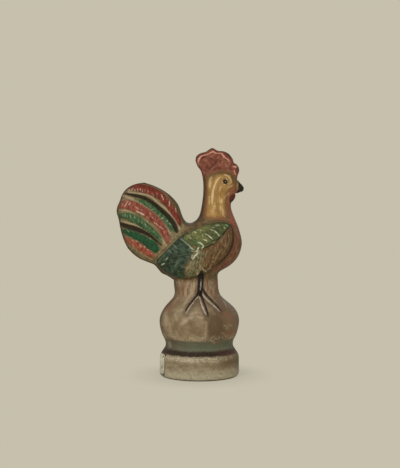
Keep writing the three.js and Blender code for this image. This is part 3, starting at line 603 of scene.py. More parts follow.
print("dabs on the tail:", sum(len(dabs.halves) for dabs in DABS.values()))

# %% [markdown]
# The wing is a leaf laid on the flank. A rib runs from its front tip back to its rear point: above
# the rib its feathers are green, below it brown with cream barbs, and its rear is a deep teal.

# %% Wing
AREAS["wing"] = Patch(
    (230.9, 224), (224.5, 222.6), (215.9, 222.2), (208, 224.2), (200.7, 226.6), (192, 230.4),
    (183.4, 234.2), (178.6, 237.4), (172.5, 243.8), (166, 250.4), (158, 258.4), (156.2, 262.4),
    (160, 267.8), (167.1, 273.2), (174, 276.6), (183.4, 278.4), (192, 278), (198.5, 275),
    (205, 273), (212, 268.8), (218.4, 263.9), (224.9, 257.8), (229.4, 251), (232, 243.6),
    (233, 235), (232.4, 228.4))
WING_RIB = Stroke(
    (230.6, 224.9, 1), (222.4, 234.1, 1), (215.9, 240.6, 1), (209.4, 245, 1), (201.8, 248.7, 1),
    (194.2, 251.6, 1), (182, 255.6, 1), (170, 260, 1), (161, 263.4, 1))
AREAS["wing_rear"] = Patch(
    (186, 231.6), (180, 235), (172.5, 242), (166, 249), (156, 257), (154, 263), (159, 269),
    (167, 274.6), (175, 278), (186, 280), (184, 272), (186, 264), (190, 258), (192, 252),
    (190, 246), (184, 240))
AREAS["wing_front"] = Patch(
    (231.8, 229), (232.6, 236), (231.8, 243.6), (228.8, 251), (224.4, 257.4), (218, 263.4),
    (214, 261), (220.6, 252.6), (225.4, 243.6), (228.6, 235))
LINES["front_shade"] = [Stroke(
    (230.2, 225.2, 1), (232, 229, 1.7), (233, 234.6, 1.9), (233, 240.4, 2), (231.5, 246.8, 2.2),
    (228.4, 252.4, 2.3), (224.6, 257.6, 2.2), (219.8, 262, 2), (215.2, 265.9, 1.2))]
LINES["leaf_line"] = [
    Stroke((204, 224.2, 0.8), (210, 222.8, 1.8), (216.6, 221.9, 2.2), (223.6, 222.5, 2),
           (229.5, 224.2, 1.8), (231.4, 225.8, 1.2)),
    Stroke((228.6, 226.8, 1), (225.4, 230.6, 1.5), (219.2, 238, 1.7), (211.9, 244.2, 1.8),
           (206, 247.4, 1.5), (201.4, 249.2, 1))]
AREAS["olive_field"] = Patch(
    (199, 227.4), (208, 224.6), (209, 229), (204, 233), (208, 238), (212, 242), (207, 246.4),
    (203, 241), (196, 240), (190, 238), (184, 240), (182, 237), (188, 232.6))
AREAS["barb_field"] = Patch(
    (201, 250.6), (197, 251), (192, 252.6), (189, 258), (186, 264), (184.4, 272), (186, 276.6),
    (194, 275.4), (200.4, 271), (202.4, 262), (204, 254))
print("wing outline", len(AREAS["wing"].loop), "points")

# %% Dabs over the wing
# Cream barbs; the brightest, where the rib breaks, are a painted highlight.
DABS["wing_cream_and_highlight"] = Dabs(
    (209.6, 229.3, 213.8, 230.6, 1.2), (213.4, 230.4, 217, 233.4, 1.3),
    (216.6, 233, 219.2, 236, 1.1), (204.6, 233.6, 208.4, 235.8, 1.1),
    (207.8, 235.4, 212.4, 239.2, 1.5), (202.7, 239, 206.8, 241, 1.6),
    (196.8, 242.2, 200.4, 242.8, 1.5), (199.8, 242.6, 202.5, 245.2, 1.8),
    (202.2, 244.6, 202.9, 247.2, 2.1), (202.8, 246.4, 200.8, 248.8, 1.8),
    (189.2, 247.6, 193.8, 249.6, 1.7), (198.8, 250.6, 194, 251.5, 1.5),
    (190.4, 250.4, 193.4, 251.4, 1), (197.6, 252.6, 193.6, 256.4, 2),
    (195.4, 255, 191.8, 259.6, 1.6), (198.4, 246.6, 196.4, 251, 2),
    (192, 254.6, 190.6, 258.2, 1.2), (225.6, 224.8, 227.4, 226.2, 1.2),
    (223.2, 226.6, 224.6, 228.6, 0.8), (198.6, 229.4, 201.4, 230.8, 0.9),
    (193.4, 231.2, 196.2, 232.8, 0.9), (212.5, 243, 215.4, 241.1, 0.9),
    (219.8, 236.8, 221.6, 234.6, 0.7), (215, 225.6, 219.4, 224.9, 1.1),
    (211.4, 227.8, 214.6, 227, 0.8), (180.4, 238.8, 185.6, 242.6, 0.9),
    (185.2, 242.4, 190.4, 247.2, 1), (200.4, 234.8, 203, 236.6, 0.8),
    (188, 236.4, 191, 238.4, 0.9), (161.4, 265, 163.6, 263.2, 1.5),
    (165.3, 260.2, 167.5, 256.6, 1), (196.2, 275.6, 198, 272, 1.4),
    (204.8, 270.4, 206.8, 273.2, 1.5), (202.2, 268.4, 204.2, 271, 1.2))
DABS["wing_green"] = Dabs(
    (222.2, 224.2, 228.6, 226.8, 3), (219, 228.6, 222.4, 231.8, 1.4),
    (216, 236.4, 220.6, 239, 1.6), (214, 231.8, 217.6, 235.4, 1), (195, 241.6, 199.6, 245.6, 3),
    (191.6, 239.2, 196, 243, 1.4), (222.8, 230.8, 225.4, 228.2, 1.2),
    (209.6, 240.4, 213.2, 242.4, 1.8), (181.6, 240, 186, 245, 1.6), (180, 247, 184.6, 252.4, 1.4),
    (177.6, 273.2, 184.6, 275.6, 1.8), (191.6, 276.6, 195.4, 275.4, 1.8),
    (187, 272.6, 191.2, 274.4, 1.4), (204.2, 226.2, 209.4, 227, 1), (196, 234.6, 200.4, 238, 1))
DABS["wing_deep"] = Dabs(
    (205.4, 234.9, 208.6, 237.6, 1.1), (208.2, 237.4, 213.2, 241.8, 1.5),
    (194.4, 249.6, 197.4, 250.2, 1.3), (204, 245.2, 209.4, 242.6, 1.4),
    (209, 242.8, 214.4, 239.4, 1.3), (203.4, 242.6, 207.8, 243.4, 1),
    (193.2, 244.4, 198.6, 247.2, 1.1), (200.6, 231.2, 206.4, 233.4, 0.9),
    (208, 231.2, 213.8, 234.8, 0.9), (213.4, 228.4, 219.2, 231.6, 0.9),
    (218.4, 226.8, 222.6, 229.4, 0.8), (196.4, 233.4, 201.8, 236.8, 0.8),
    (190.4, 236.2, 196.4, 240.2, 0.9), (186.6, 238.2, 192.8, 242.6, 1),
    (184, 233.2, 188.8, 233.6, 2.6), (187.4, 230.8, 191, 231.2, 1.4),
    (200.8, 237.6, 205, 238.8, 0.8), (178, 273.4, 185, 276.8, 1.6),
    (190.6, 277.4, 195, 276.2, 1.4), (168.6, 257.6, 176, 258.6, 1.8),
    (172, 254.2, 179, 257.4, 1.2), (183.4, 246.4, 187.4, 250.2, 1),
    (200.2, 251.4, 203.4, 250.6, 0.9))
DABS["wing_mist"] = Dabs(
    (177, 255.9, 183, 254.9, 0.9), (182.6, 255, 188.8, 253.4, 0.9),
    (174.8, 266.6, 175.9, 262.8, 1.3), (175.4, 264.4, 178.8, 262, 1),
    (184.2, 260.4, 185.1, 264, 1.1), (172.6, 262.8, 179.4, 260.2, 0.8),
    (171.2, 250.4, 174.2, 246.4, 0.9), (178, 247.4, 180.6, 250.4, 0.9),
    (181.4, 245.8, 184.8, 249.6, 0.9), (187.2, 250, 190.6, 252.4, 1),
    (172.8, 244, 176.6, 248.4, 1.2), (168.6, 249.6, 171.6, 253.6, 1.4),
    (179.6, 242.4, 182.2, 244.6, 0.8), (185, 256.8, 189.6, 256.2, 0.9),
    (179.2, 259.4, 183.2, 258.2, 0.8), (168.4, 263.6, 172, 262, 0.9),
    (180, 264.6, 183, 267.8, 0.9), (171, 268.6, 172.4, 272, 0.9),
    (176.4, 270.4, 180.6, 271.8, 0.8), (158, 262.6, 160.4, 258.2, 1.1),
    (160.2, 258.6, 164.6, 254.4, 1.1), (166, 252.8, 169, 249.4, 0.8),
    (186.6, 248.2, 189.4, 250.4, 0.8), (174.2, 251.2, 178.4, 252.8, 0.8))
DABS["wing_bone"] = Dabs(
    (227.8, 233.6, 228.8, 239, 1.6), (228.9, 238, 228.4, 243.4, 1.2),
    (228, 243.4, 224.8, 249.8, 1.1), (224.8, 250, 220, 256, 1.1),
    (225.6, 241.4, 224.2, 247.6, 1.5), (223, 247.8, 220.6, 252, 1),
    (220.4, 249, 216.4, 256.8, 1.6), (216.8, 256, 213, 262.6, 1.5),
    (225, 256.5, 226.6, 253.5, 0.9), (206.6, 249.8, 204.8, 256.8, 1.7),
    (200.9, 252.6, 199.8, 260.6, 1.4), (211.6, 256.6, 214.4, 259.6, 1.2),
    (210.5, 260.4, 214.5, 262.4, 1.2), (202.7, 264.4, 204.9, 266.6, 1.3),
    (204.9, 266.2, 207.3, 263.4, 1.3), (199, 264.4, 200.2, 269.8, 2.6),
    (195.4, 268.6, 198.8, 271, 1.3), (206.8, 269.6, 210.9, 267.4, 1.3),
    (204.6, 272.4, 209.6, 268.4, 1), (208.6, 259.4, 207.2, 263, 0.9),
    (211.4, 250.4, 209.2, 255.6, 1), (215.2, 247.4, 213.4, 252.4, 1),
    (218.6, 242.4, 217, 247.6, 1), (221.8, 238.6, 220.2, 243.4, 0.9),
    (224.8, 233.4, 223.4, 238.2, 0.9), (203.4, 257.4, 201.8, 262.6, 0.9),
    (197.2, 259.4, 194.4, 266.4, 1), (194, 262, 190.4, 270.6, 1.2),
    (190.6, 260.8, 187.4, 268.8, 1.4), (187.4, 266.2, 185.8, 271.4, 1.7),
    (190.8, 266.8, 189, 272, 1.2), (201.6, 266.2, 203.2, 270.4, 1),
    (212.2, 264.2, 209.4, 266.4, 1), (196.4, 264.8, 195.2, 267.4, 1),
    (233.7, 236.2, 233.6, 238.8, 1.1), (207.4, 276.4, 209.2, 273.2, 1.2))
DABS["wing_sienna"] = Dabs((192.2, 246.1, 196.4, 247.4, 1.7), (210.8, 247.2, 213.2, 245.5, 1.7))
print("dabs on tail and wing:", sum(len(dabs.halves) for dabs in DABS.values()))

# %% [markdown]
# The head: a comb with a bevelled edge, a ringed eye under a brow ridge with a pale painted
# highlight, a painted highlight down a low ridge on the hackle, a dark beak and a dark red wattle.

# %% Head
AREAS["comb"] = Patch(
    (199, 179), (203.8, 177.4), (208.6, 174.8), (213, 172.2), (216.8, 170.9), (221.1, 170.4),
    (226.4, 170.8), (230.4, 171.8), (232.8, 173.6), (235, 176.2), (236.6, 178.6), (241, 178),
    (244, 165), (236, 150), (212, 142), (193, 150), (191, 168))
# A painted highlight along the comb's bevel, and two on its front lobe.
LINES["comb_highlight"] = [
    Stroke((198.4, 166, 0.8), (198, 162.4, 1.4), (199, 159, 2), (201.2, 156.6, 1.3),
           (204.6, 155.2, 1.1), (207.4, 154.4, 1), (210.3, 153, 1.1), (213, 151.6, 1.6),
           (216, 153.2, 1.2), (219.8, 153.2, 1.2), (222, 153.8, 1.6), (223.6, 155.8, 1.6),
           (225.4, 158, 1.4), (228, 159.6, 1.2), (230, 161.4, 1)),
    Stroke((233, 166.5, 1.2), (235.2, 166.9, 2), (236.9, 166.3, 1.2)),
    Stroke((234.4, 170.6, 1), (235, 173, 1.4), (236.2, 175, 0.9))]
LINES["comb_fold"] = [
    Stroke((217.6, 159.6, 1), (216.8, 162, 1.7), (215, 164.6, 1)),
    Stroke((213.6, 165.4, 0.9), (211.6, 167.4, 1.5), (209.4, 169.8, 1)),
    Stroke((201.6, 160, 0.7), (203, 157.6, 1), (206, 156.8, 0.7)),
    Stroke((231, 157.6, 1.6), (229, 154.8, 3), (226, 153.2, 2))]
LINES["eye"] = [Stroke((225.3, 181.7, 4), (225.5, 181.5, 4))]
# Painted highlights: light crescents round the eye.
LINES["eye_highlight"] = [
    Stroke((225.9, 178.6, 0.6), (226.7, 179.4, 1), (227.3, 180.8, 0.5)),
    Stroke((223.6, 184.3, 0.7), (224.5, 184.7, 1), (225.4, 184.3, 0.6)),
    Stroke((222.1, 181, 0.4), (222.2, 182.2, 0.7), (222.9, 183.4, 0.4))]
# The brow's pale arc is a painted highlight along its ridge.
LINES["brow"] = [Stroke(
    (223.8, 175.3, 0.3), (224.8, 175.1, 0.8), (225.6, 175.1, 1.2), (228, 176.1, 1.3),
    (229.9, 178.3, 1.3), (231.2, 180.9, 1.1), (231, 184, 0.8))]
# A painted highlight along a low ridge down the hackle.
LINES["streak"] = [Stroke(
    (219.9, 177.1, 0.8), (218.2, 178.9, 1.4), (216.5, 180.9, 1.3), (215, 184.5, 1.3),
    (213.6, 188.5, 1.5), (212.9, 192, 1.7), (212.4, 196.6, 1.8), (212, 201.4, 1.2),
    (212.2, 204.6, 0.6))]
AREAS["beak"] = Patch(
    (237.6, 177.4), (237, 184), (236.6, 190), (236.4, 196), (250, 198), (250, 176))
AREAS["wattle"] = Patch(
    (236.4, 193.8), (234.9, 199.2), (231.9, 204.4), (229.4, 202.4), (228, 198), (229.2, 194.6),
    (232.6, 193.2))
AREAS["head"] = Patch(
    (202, 170), (214, 164), (236, 168), (242, 180), (238, 196), (228, 204), (214, 196), (202, 190))
AREAS["neck"] = Patch(
    (204, 178), (212, 173), (224, 171), (233, 174), (235, 182), (232, 188), (228.6, 194),
    (227.4, 200), (227.2, 207), (228, 214), (225, 218.4), (217, 220), (208, 219), (203, 216),
    (203.6, 196))
AREAS["throat"] = Patch(
    (236.4, 188), (236.8, 193), (233, 203), (232, 209), (233, 215), (238, 224), (231, 224.6),
    (228.6, 219), (228.4, 211), (228, 202), (228.4, 196), (230, 193), (233, 190))
AREAS["breast"] = Patch(
    (230, 222), (239, 226), (246, 240), (243, 258), (232, 268), (220, 274), (213, 270), (217, 266),
    (226, 258), (231, 248), (233, 236))
# Soft painted highlights on the comb.
DABS["comb_soft_highlight"] = Dabs(
    (223.2, 156.8, 222.4, 164.2, 1.7), (213.6, 167.2, 210.6, 169.6, 1.3),
    (226.4, 161.6, 229.8, 160.8, 1.6), (229.8, 162.4, 227.6, 169, 1.7),
    (225.4, 162.6, 227, 167.6, 2), (219.4, 156, 217.2, 158.8, 1), (204, 159.6, 206.8, 161.6, 1.4),
    (210.4, 156.6, 213.4, 155.2, 1), (199.6, 162.4, 201.6, 167, 1.6),
    (202.2, 170.4, 205, 172.6, 1.3), (219, 163.6, 220.4, 166.4, 1.2),
    (212.2, 173.6, 215.6, 172, 0.9))
DABS["comb_deep"] = Dabs(
    (207.6, 164.6, 206.4, 171.4, 2.4), (209.8, 158, 214.8, 161, 2.6),
    (206, 174.8, 204.2, 177, 2.2), (212.8, 169.4, 220.4, 168.2, 2),
    (221, 169.6, 226.6, 169.9, 1.2), (237.4, 167.6, 238.2, 172.6, 2), (219, 159, 220.8, 163, 1.6),
    (207.6, 157.4, 209.6, 160.6, 1.4), (233.4, 164.8, 237.4, 165.6, 1.2))
DABS["head_olive"] = Dabs(
    (207.6, 176, 211.4, 174, 1.4), (211, 174.2, 216.4, 172.2, 2), (216, 172.4, 225.6, 171.7, 2.6),
    (225, 172, 231.6, 174.6, 2.8), (231.2, 174.4, 233.2, 181.2, 3), (214.6, 175.6, 213, 180.6, 2),
    (218.6, 173.8, 223, 173.6, 1.6))
# Painted highlights and sheen on the face and down the neck.
DABS["head_highlight"] = Dabs(
    (210, 180.4, 209.6, 188, 2), (211.4, 176.6, 210, 179.6, 1.6),
    (228.2, 187.6, 232.8, 185.2, 1.4), (226.6, 195.6, 229, 192.8, 1.1),
    (224, 198.2, 225.6, 195.6, 1), (221.6, 199, 221.3, 203.4, 2.6),
    (220.7, 204.8, 220.2, 210.2, 1.9), (222, 206.6, 223.4, 214.8, 1.7),
    (219.2, 196.4, 220, 202.6, 1), (211.3, 210, 213.6, 213.8, 1), (214.6, 202.6, 215.3, 208.6, 1),
    (213.5, 206, 213.7, 211.4, 0.9), (209.4, 196, 209.2, 204, 1.1), (220.8, 186.2, 219.4, 191, 1),
    (222, 213.8, 224.8, 216.6, 1), (229.8, 181.4, 228.6, 184.4, 1))
DABS["head_rust"] = Dabs(
    (229.2, 189, 234.6, 187.4, 2.6), (230.6, 191.6, 234.6, 191.8, 2.8),
    (234.2, 181.4, 235, 187.4, 1.7), (221.2, 189.6, 225, 192.6, 1.6),
    (220, 178.6, 221.6, 183.4, 1.6), (226.6, 203.4, 227.4, 214, 1.7),
    (205.2, 182, 205.6, 194, 1.6), (205, 200, 204.2, 212, 1.6), (197.2, 222.4, 200.2, 226.2, 1.8),
    (216.6, 216.6, 225.6, 218.8, 1.8), (217.6, 208, 218, 214, 0.9), (208.6, 208, 208.8, 214, 0.9))
DABS["breast_tan"] = Dabs(
    (236.6, 244.6, 236.4, 252, 1.3), (238.4, 247.4, 237.4, 253.6, 0.9),
    (234.9, 249.6, 233.2, 255.4, 1.1), (236.8, 232.4, 238.6, 238.6, 0.9),
    (230.4, 257.4, 226, 262.4, 1.2), (232.8, 256.6, 229.6, 261.6, 0.9),
    (220.4, 267.6, 214.8, 271.6, 1.1), (222.6, 264.4, 218.6, 267.4, 0.8),
    (235.2, 227, 236.8, 231.6, 0.8))
print("the eye is at", LINES["eye"][0].line[0, :2].round(1))

# %% [markdown]
# The legs are modelled on the foot's column: a dark shank with a painted highlight down its middle,
# and three thin toes spread over the ball, each with a pale edge.

# %% Legs and foot
LINES["shank"] = [Stroke(
    (201.2, 272.2, 2.8), (200.9, 276, 5.4), (200.6, 282, 5.2), (200, 288, 4.8),
    (199.5, 293.4, 4.2))]
# A painted highlight down the shank.
LINES["shank_highlight"] = [Stroke(
    (200.8, 279.4, 1), (200.5, 283, 1.5), (200.2, 287, 1.3), (199.8, 290, 0.8))]
LINES["toe"] = [
    Stroke((198.9, 292.4, 2.6), (196.2, 296, 1.9), (192.9, 300.4, 1.6), (188.9, 305.4, 1.3),
           (185.6, 311, 0.9)),
    Stroke((200, 293.2, 2.6), (202.7, 299.6, 2.1), (205.5, 306.6, 1.9), (207.1, 311.4, 1.6),
           (208.3, 316.6, 1)),
    Stroke((201.6, 287.4, 2.4), (204, 291.4, 2), (207, 295.6, 1.8), (211.4, 300, 1.6),
           (216, 304.6, 1.5), (221.4, 311.4, 1))]
LINES["toe_light"] = [
    Stroke((199, 296, 1), (195.7, 298.9, 1.1), (192.7, 303, 1.2), (189.3, 307.4, 1.2),
           (185.9, 314, 0.9)),
    Stroke((199.6, 297, 1.2), (201.2, 303, 1.5), (203.2, 309, 1.6), (206.2, 315, 1.1)),
    Stroke((202.4, 294, 1.2), (205, 297.4, 1.6), (208.6, 301.2, 1.5), (212.9, 305, 1.2),
           (217, 308.6, 1.1), (220.4, 312.2, 0.8))]
AREAS["ball_shade"] = Patch(
    (208, 317), (214, 313), (222, 317), (225, 326), (222, 342.6), (208, 342), (206.5, 330))
# Painted highlights on the column and the ball, among them the bright spot on the ball's left, and
# a few pale flecks on its lower rim.
DABS["foot_highlight"] = Dabs(
    (178.5, 279, 180.2, 285.6, 1.1), (189.8, 287.6, 191.4, 294.4, 2.2),
    (191.2, 293.6, 187.4, 299.4, 2.4), (209.2, 278.4, 212.4, 283.8, 2),
    (193.6, 279.6, 193.8, 286.4, 1.1), (186.6, 280, 187.2, 287.8, 1.3),
    (214.8, 285.6, 213.6, 292.4, 1.1), (183.2, 321.9, 187.2, 320.3, 4.4),
    (186.6, 319.9, 193.6, 316.4, 2), (180.2, 324, 183.8, 322.2, 2),
    (165.2, 314.4, 166.6, 325.6, 2.2), (168.8, 321.6, 170.6, 331.4, 2.2),
    (223.6, 325.6, 226.8, 326.4, 0.9), (228.4, 324.6, 231.6, 325.8, 1),
    (226, 328.6, 229, 328, 0.8), (206.2, 322.4, 205.2, 339.6, 2.4),
    (188.2, 296.6, 184.2, 305.6, 2), (189.4, 314, 199.6, 312.4, 2.6),
    (175.8, 331, 178.4, 336.6, 1.6), (195.6, 336.8, 201.8, 339.4, 1.4),
    (189.6, 338.6, 199.8, 341, 1.5), (210.5, 340, 214.4, 342.6, 1.7),
    (199.6, 307.4, 202.4, 315.6, 1.4), (223.8, 301.6, 226.6, 306.4, 1.2),
    (177.6, 311, 183.6, 309.6, 1.6), (175.4, 314.4, 177, 320.4, 1.5),
    (228.6, 338.4, 232.2, 337, 1.1), (221.4, 332.4, 224.4, 334.6, 1),
    (169.3, 341.4, 170.3, 346.8, 1.1), (210.8, 285, 212.4, 290.4, 1.4),
    (196.6, 316.8, 203.4, 317.8, 1.5))
# Painted shade: dabs round the shank and toes and at the edges of the column and the ball.
DABS["foot_shade"] = Dabs(
    (180.9, 279, 182.2, 289.4, 1), (182, 289, 178.2, 296.6, 1), (176.4, 279.6, 177.8, 292, 2.4),
    (218, 279, 219.8, 292.4, 2.2), (195.8, 281, 195.9, 291.6, 1.4), (205.4, 280.4, 206, 287, 1),
    (162.4, 309.4, 161.4, 322.6, 1.6), (162.2, 326, 165.6, 335.6, 1.8),
    (236.6, 313.4, 237.6, 326, 1.8), (236.4, 330.4, 234, 338, 1.6),
    (197.4, 299.6, 195.6, 306.6, 2), (207.2, 302, 209.8, 309.6, 1.8),
    (213.8, 309, 217.4, 314.6, 2), (190.4, 320.6, 191, 325.4, 1.6),
    (203.8, 318.6, 207.4, 320.8, 1.4), (171.2, 300.6, 167.4, 305.4, 1.4),
    (212.8, 296, 217.8, 301.4, 1.6), (166.4, 337, 172.6, 339.6, 2.4))
DABS["foot_rust"] = Dabs(
    (183, 279, 184.2, 288.8, 2), (184, 288.2, 180.6, 295.8, 1.9), (206.4, 279, 207.4, 286.4, 1.8),
    (206.8, 286, 210.4, 293, 1.4), (164.2, 309.8, 169.2, 300.6, 2.4),
    (168.4, 311.6, 173.6, 302.2, 2), (221.2, 311.4, 231.6, 318.4, 3),
    (225.6, 333.2, 234.8, 331, 3.6), (171.2, 306, 175.4, 298.4, 1.6),
    (224.6, 321.4, 232.4, 321.8, 1.6), (226.2, 337.4, 232, 334.8, 1.6),
    (216.4, 288, 217.4, 297, 1.6), (212.2, 342.5, 219.8, 343.6, 1.9))
DABS["groove_pale"] = Dabs(
    (173.4, 344.2, 183.8, 348.4, 0.9), (174.4, 347.4, 184.2, 351, 0.8),
    (176, 342.4, 186, 344.8, 0.8), (186.4, 343.3, 198, 344.8, 0.9),
    (188.6, 338.6, 189.5, 343.2, 0.9), (184.4, 350.6, 192.4, 352, 1.2),
    (214.6, 352.6, 217, 354.9, 1.2), (180, 349.4, 187.4, 353.2, 0.9),
    (201.4, 350.6, 209, 351.4, 0.9), (222, 348.6, 229.6, 346.8, 0.9),
    (228.6, 350.2, 233, 348.8, 0.9), (192.8, 347.6, 197.4, 351.4, 0.9))
DABS["groove_green"] = Dabs(
    (196.6, 346.4, 211, 348.6, 3.4), (211.6, 346.4, 220.6, 347.4, 3.2),
    (220.6, 344.8, 229.8, 342.6, 2.6), (184, 345.8, 196, 349, 1.6),
    (229.6, 342.2, 234, 340.8, 1.6), (190.6, 350.6, 196.4, 351.8, 1.4))
# A painted highlight along the drum's top edge, and worn pale specks near its foot.
DABS["drum_highlight_and_wear"] = Dabs(
    (173.2, 358.5, 181.4, 360.1, 1.1), (180.4, 361, 193, 361.5, 2.8),
    (190.6, 359.6, 203.4, 359.8, 1.2), (202.8, 360.8, 208.4, 361.4, 1.4),
    (167.2, 357.4, 173.2, 359.4, 1), (183.2, 356.5, 187.6, 357.2, 1.1),
    (225.4, 357.2, 226, 359.9, 1.1), (229.4, 356.4, 232.6, 357.8, 1.1),
    (216.7, 359, 218, 361.6, 1.4), (167, 371.8, 171.8, 375.8, 1.5),
    (170.2, 375.8, 176.6, 379.8, 1.7), (173.7, 372.4, 175.8, 376.2, 1.3),
    (192.4, 377, 196.8, 380, 2.2), (186, 378.3, 191.2, 380.3, 1.3),
    (216.6, 374.2, 224, 377.2, 2.1), (221.8, 372.2, 226.4, 375.2, 1.5),
    (232.5, 368.2, 234.5, 372.6, 1.5), (230.6, 375.5, 236.6, 376.4, 1.3),
    (198, 380, 206.2, 379.6, 1.3), (176.6, 376.8, 182.6, 380.3, 1.4),
    (208.2, 377.2, 214.6, 379.8, 1.3))
DABS["drum_brown"] = Dabs(
    (217.2, 359.8, 220.8, 360.7, 1.3), (220.5, 372.3, 221.7, 374.4, 1.3),
    (212.4, 368.3, 214.8, 369, 1), (168.4, 361.4, 180.8, 364.4, 1.8),
    (180, 366.5, 191, 366.6, 1.7), (211, 357.6, 222, 356.8, 1.2), (224, 362.6, 236, 360.4, 2.4),
    (213, 364.4, 226, 365.4, 1.7), (166.2, 366.4, 170.4, 368.2, 1.2))
AREAS["outline"] = Patch(loop=np.vstack([ribs[::3, :2], ribs[:1, :2]]))
print("toes:", len(LINES["toe"]), "and all dabs:", sum(len(dabs.halves) for dabs in DABS.values()))

# %% [markdown]
# One function measures every stroke at any set of spots. It serves twice: first the relief reads
# it, then the finished meshes carry it as attributes that the paint reads.

# %% Measure the decoration
FEATHERS = ("red", "rose", "salmon", "green", "emerald")


def nearest_of(strokes, spots):
    """The values of the stroke that each spot lies deepest in."""
    measured = np.array([stroke.measure(spots) for stroke in strokes])
    best = measured[:, 0].argmax(axis=0)
    return measured[best, :, np.arange(len(spots))].T


def decoration(spots):
    """Every distance, in millimetres, that the relief and the paint need."""
    values = {name: table.measure(spots) for name, table in (DABS | AREAS).items()}
    values |= {name: nearest_of(strokes, spots)[0] for name, strokes in LINES.items()}
    feathers = [stroke for name in FEATHERS for stroke in LINES[name]]
    values["feather"], values["barb_along"], values["barb_across"] = nearest_of(feathers, spots)
    _, values["wing_along"], values["wing_across"] = WING_RIB.measure(spots)
    return values


print("values per spot:", len(decoration(np.zeros((1, 2)))))

# %% [markdown]
# The mould's carving. Everything that stands on the flank is worked out as a height over the plain
# form and pushed straight out of the middle plane, so that both castings would leave their moulds.
# It fades away next to the joint, where the outline has to stay true.

# %% Shapes of carving


def bank(inside, reach, height):
    """A rounded bank: height times the square root of the way in, full at reach."""
    return height * np.sqrt(np.clip(inside / reach, 0, 1))


def furrow(distance, width, depth):
    """A soft channel: minus depth times e to the minus square of distance over width."""
    return -depth * np.exp(-((distance / width) ** 2))


def barb_ridges(along, across, slant, spacing, height):
    """Rounded ridges leaning away from a shaft: height times |sin(pi (u - slant |v|) / spacing)|,
    where u runs along the shaft and v across it."""
    return height * np.abs(np.sin(math.pi * (along - slant * np.abs(across)) / spacing))


# %% Carving of wing, tail, head and legs
PUPIL = 1.45
EYE_RING = 2.5


def wing_carving(at):
    """A raised leaf with a moat round it, a step and a groove at its rib, and ribbed vanes."""
    leaf = smooth_step(at["wing"], -0.5, 0.8)
    above = -at["wing_across"]
    form = 1.1 * leaf + 0.5 * smooth_step(at["wing"], 0.6, 7) + furrow(at["wing"] + 1, 0.6, 0.4)
    step = 0.4 * smooth_step(above, -0.2, 0.6) * np.exp(-((np.clip(above, 0, None) / 6) ** 2))
    slant = np.where(above > 0, 0.35, 1.5)
    vanes = barb_ridges(at["wing_along"], above, slant, 2.7, 0.1)
    lights = 0.16 * np.maximum.reduce([
        smooth_step(at[name], -0.4, 0.4) for name in ("wing_cream_and_highlight", "wing_bone", "wing_mist")])
    cuts = -0.2 * smooth_step(np.maximum(at["wing_deep"], at["leaf_line"]), -0.4, 0.4)
    grooves = step + furrow(above, 0.5, 0.35) + lights + cuts
    return form + leaf * grooves + smooth_step(at["wing"], 0.5, 2) * vanes


def tail_carving(at):
    """Rounded feathers between deep grooves."""
    barbs = barb_ridges(at["barb_along"], at["barb_across"], 0.9, 2.3, 0.07)
    feathers = bank(at["feather"] + 0.3, 1.8, 0.6) + smooth_step(at["feather"], 0.2, 1.2) * barbs
    flecks = np.maximum(at["tail_bone"], at["tail_mint"])
    feathers = feathers + 0.15 * smooth_step(flecks, -0.4, 0.4)
    return feathers - 1.2 * smooth_step(at["dark"], -0.8, 0.7)


def head_carving(at):
    """A comb set back from the head with a bevelled rim, a ringed eye and a ridge over it."""
    comb = -0.3 * smooth_step(at["comb"], -1.2, 1.2)
    rim = 0.28 * smooth_step(at["comb_highlight"], -0.9, 0.2)
    folds = -0.35 * smooth_step(at["comb_fold"], -0.7, 0.3)
    from_pupil = PUPIL - at["eye"]
    eye = 0.7 * np.sqrt(np.clip(1 - (from_pupil / PUPIL) ** 2, 0, 1))
    ring = -furrow(from_pupil - EYE_RING, 0.5, 0.35) + furrow(from_pupil - PUPIL, 0.35, 0.2)
    ridge = 0.3 * smooth_step(at["brow"], -0.7, 0.3) + 0.15 * smooth_step(at["streak"], -0.6, 0.5)
    return comb + rim + folds + eye + ring + ridge


def leg_carving(at):
    """A half-round shank and three thin toes."""
    return np.maximum(bank(at["shank"] + 0.2, 1.8, 1.5), bank(at["toe"] + 0.1, 0.8, 0.65))


def carving(at):
    """All the carving at once."""
    return wing_carving(at) + tail_carving(at) + head_carving(at) + leg_carving(at)


carved = carving(decoration(points[:, [0, 2]]))
print("carving from", round(carved.min(), 2), "to", round(carved.max(), 2), "mm")

# %% Push the carving out of the plain form
outward = np.sign(points[:, 1])
points[:, 1] += outward * carved * smooth_step(np.abs(points[:, 1]), 0.3, 1.6)
print("half width over the wings", round(points[:, 1].max(), 2), "mm")

# %% [markdown]
# A foot that is turned in the model and trimmed by hand in plaster is never quite round. A slow
# wave draws its radius in by up to a sixth of a millimetre, and its mouldings rise and fall a
# little. The wave never pushes outwards, so the foot stays within its size, and the last line trims
# the hundredths by which a smooth curve overshoots the plain model's box.

# %% Unevenness of the foot
around = np.arctan2(points[:, 1], points[:, 0])
level = points[:, 2]
held = smooth_step(level, 1.5, 6) * (1 - smooth_step(level, SEAT - 14, SEAT - 2))
draw_in = 0.003 * (2 + np.sin(3 * around + 0.09 * level) + np.sin(5 * around - 0.2 * level + 2))
points[:, :2] *= (1 - held * draw_in / 2)[:, None]
points[:, 2] += held * 0.3 * np.sin(2 * around + 0.7) * np.exp(-(((level - BALL_FOOT) / 14) ** 2))
points = np.clip(points, *(np.array(cad_box) / MM))
print("foot half width now", round(np.abs(points[level < 20, 1]).max(), 2), "mm")

# %% [markdown]
# Solids are cut with Blender's Boolean modifier. A small class keeps a closed surface as arrays,
# so that a sum joins two solids, a difference cuts one out of the other, and & keeps what they
# share.

# %% Solids that can be joined and cut


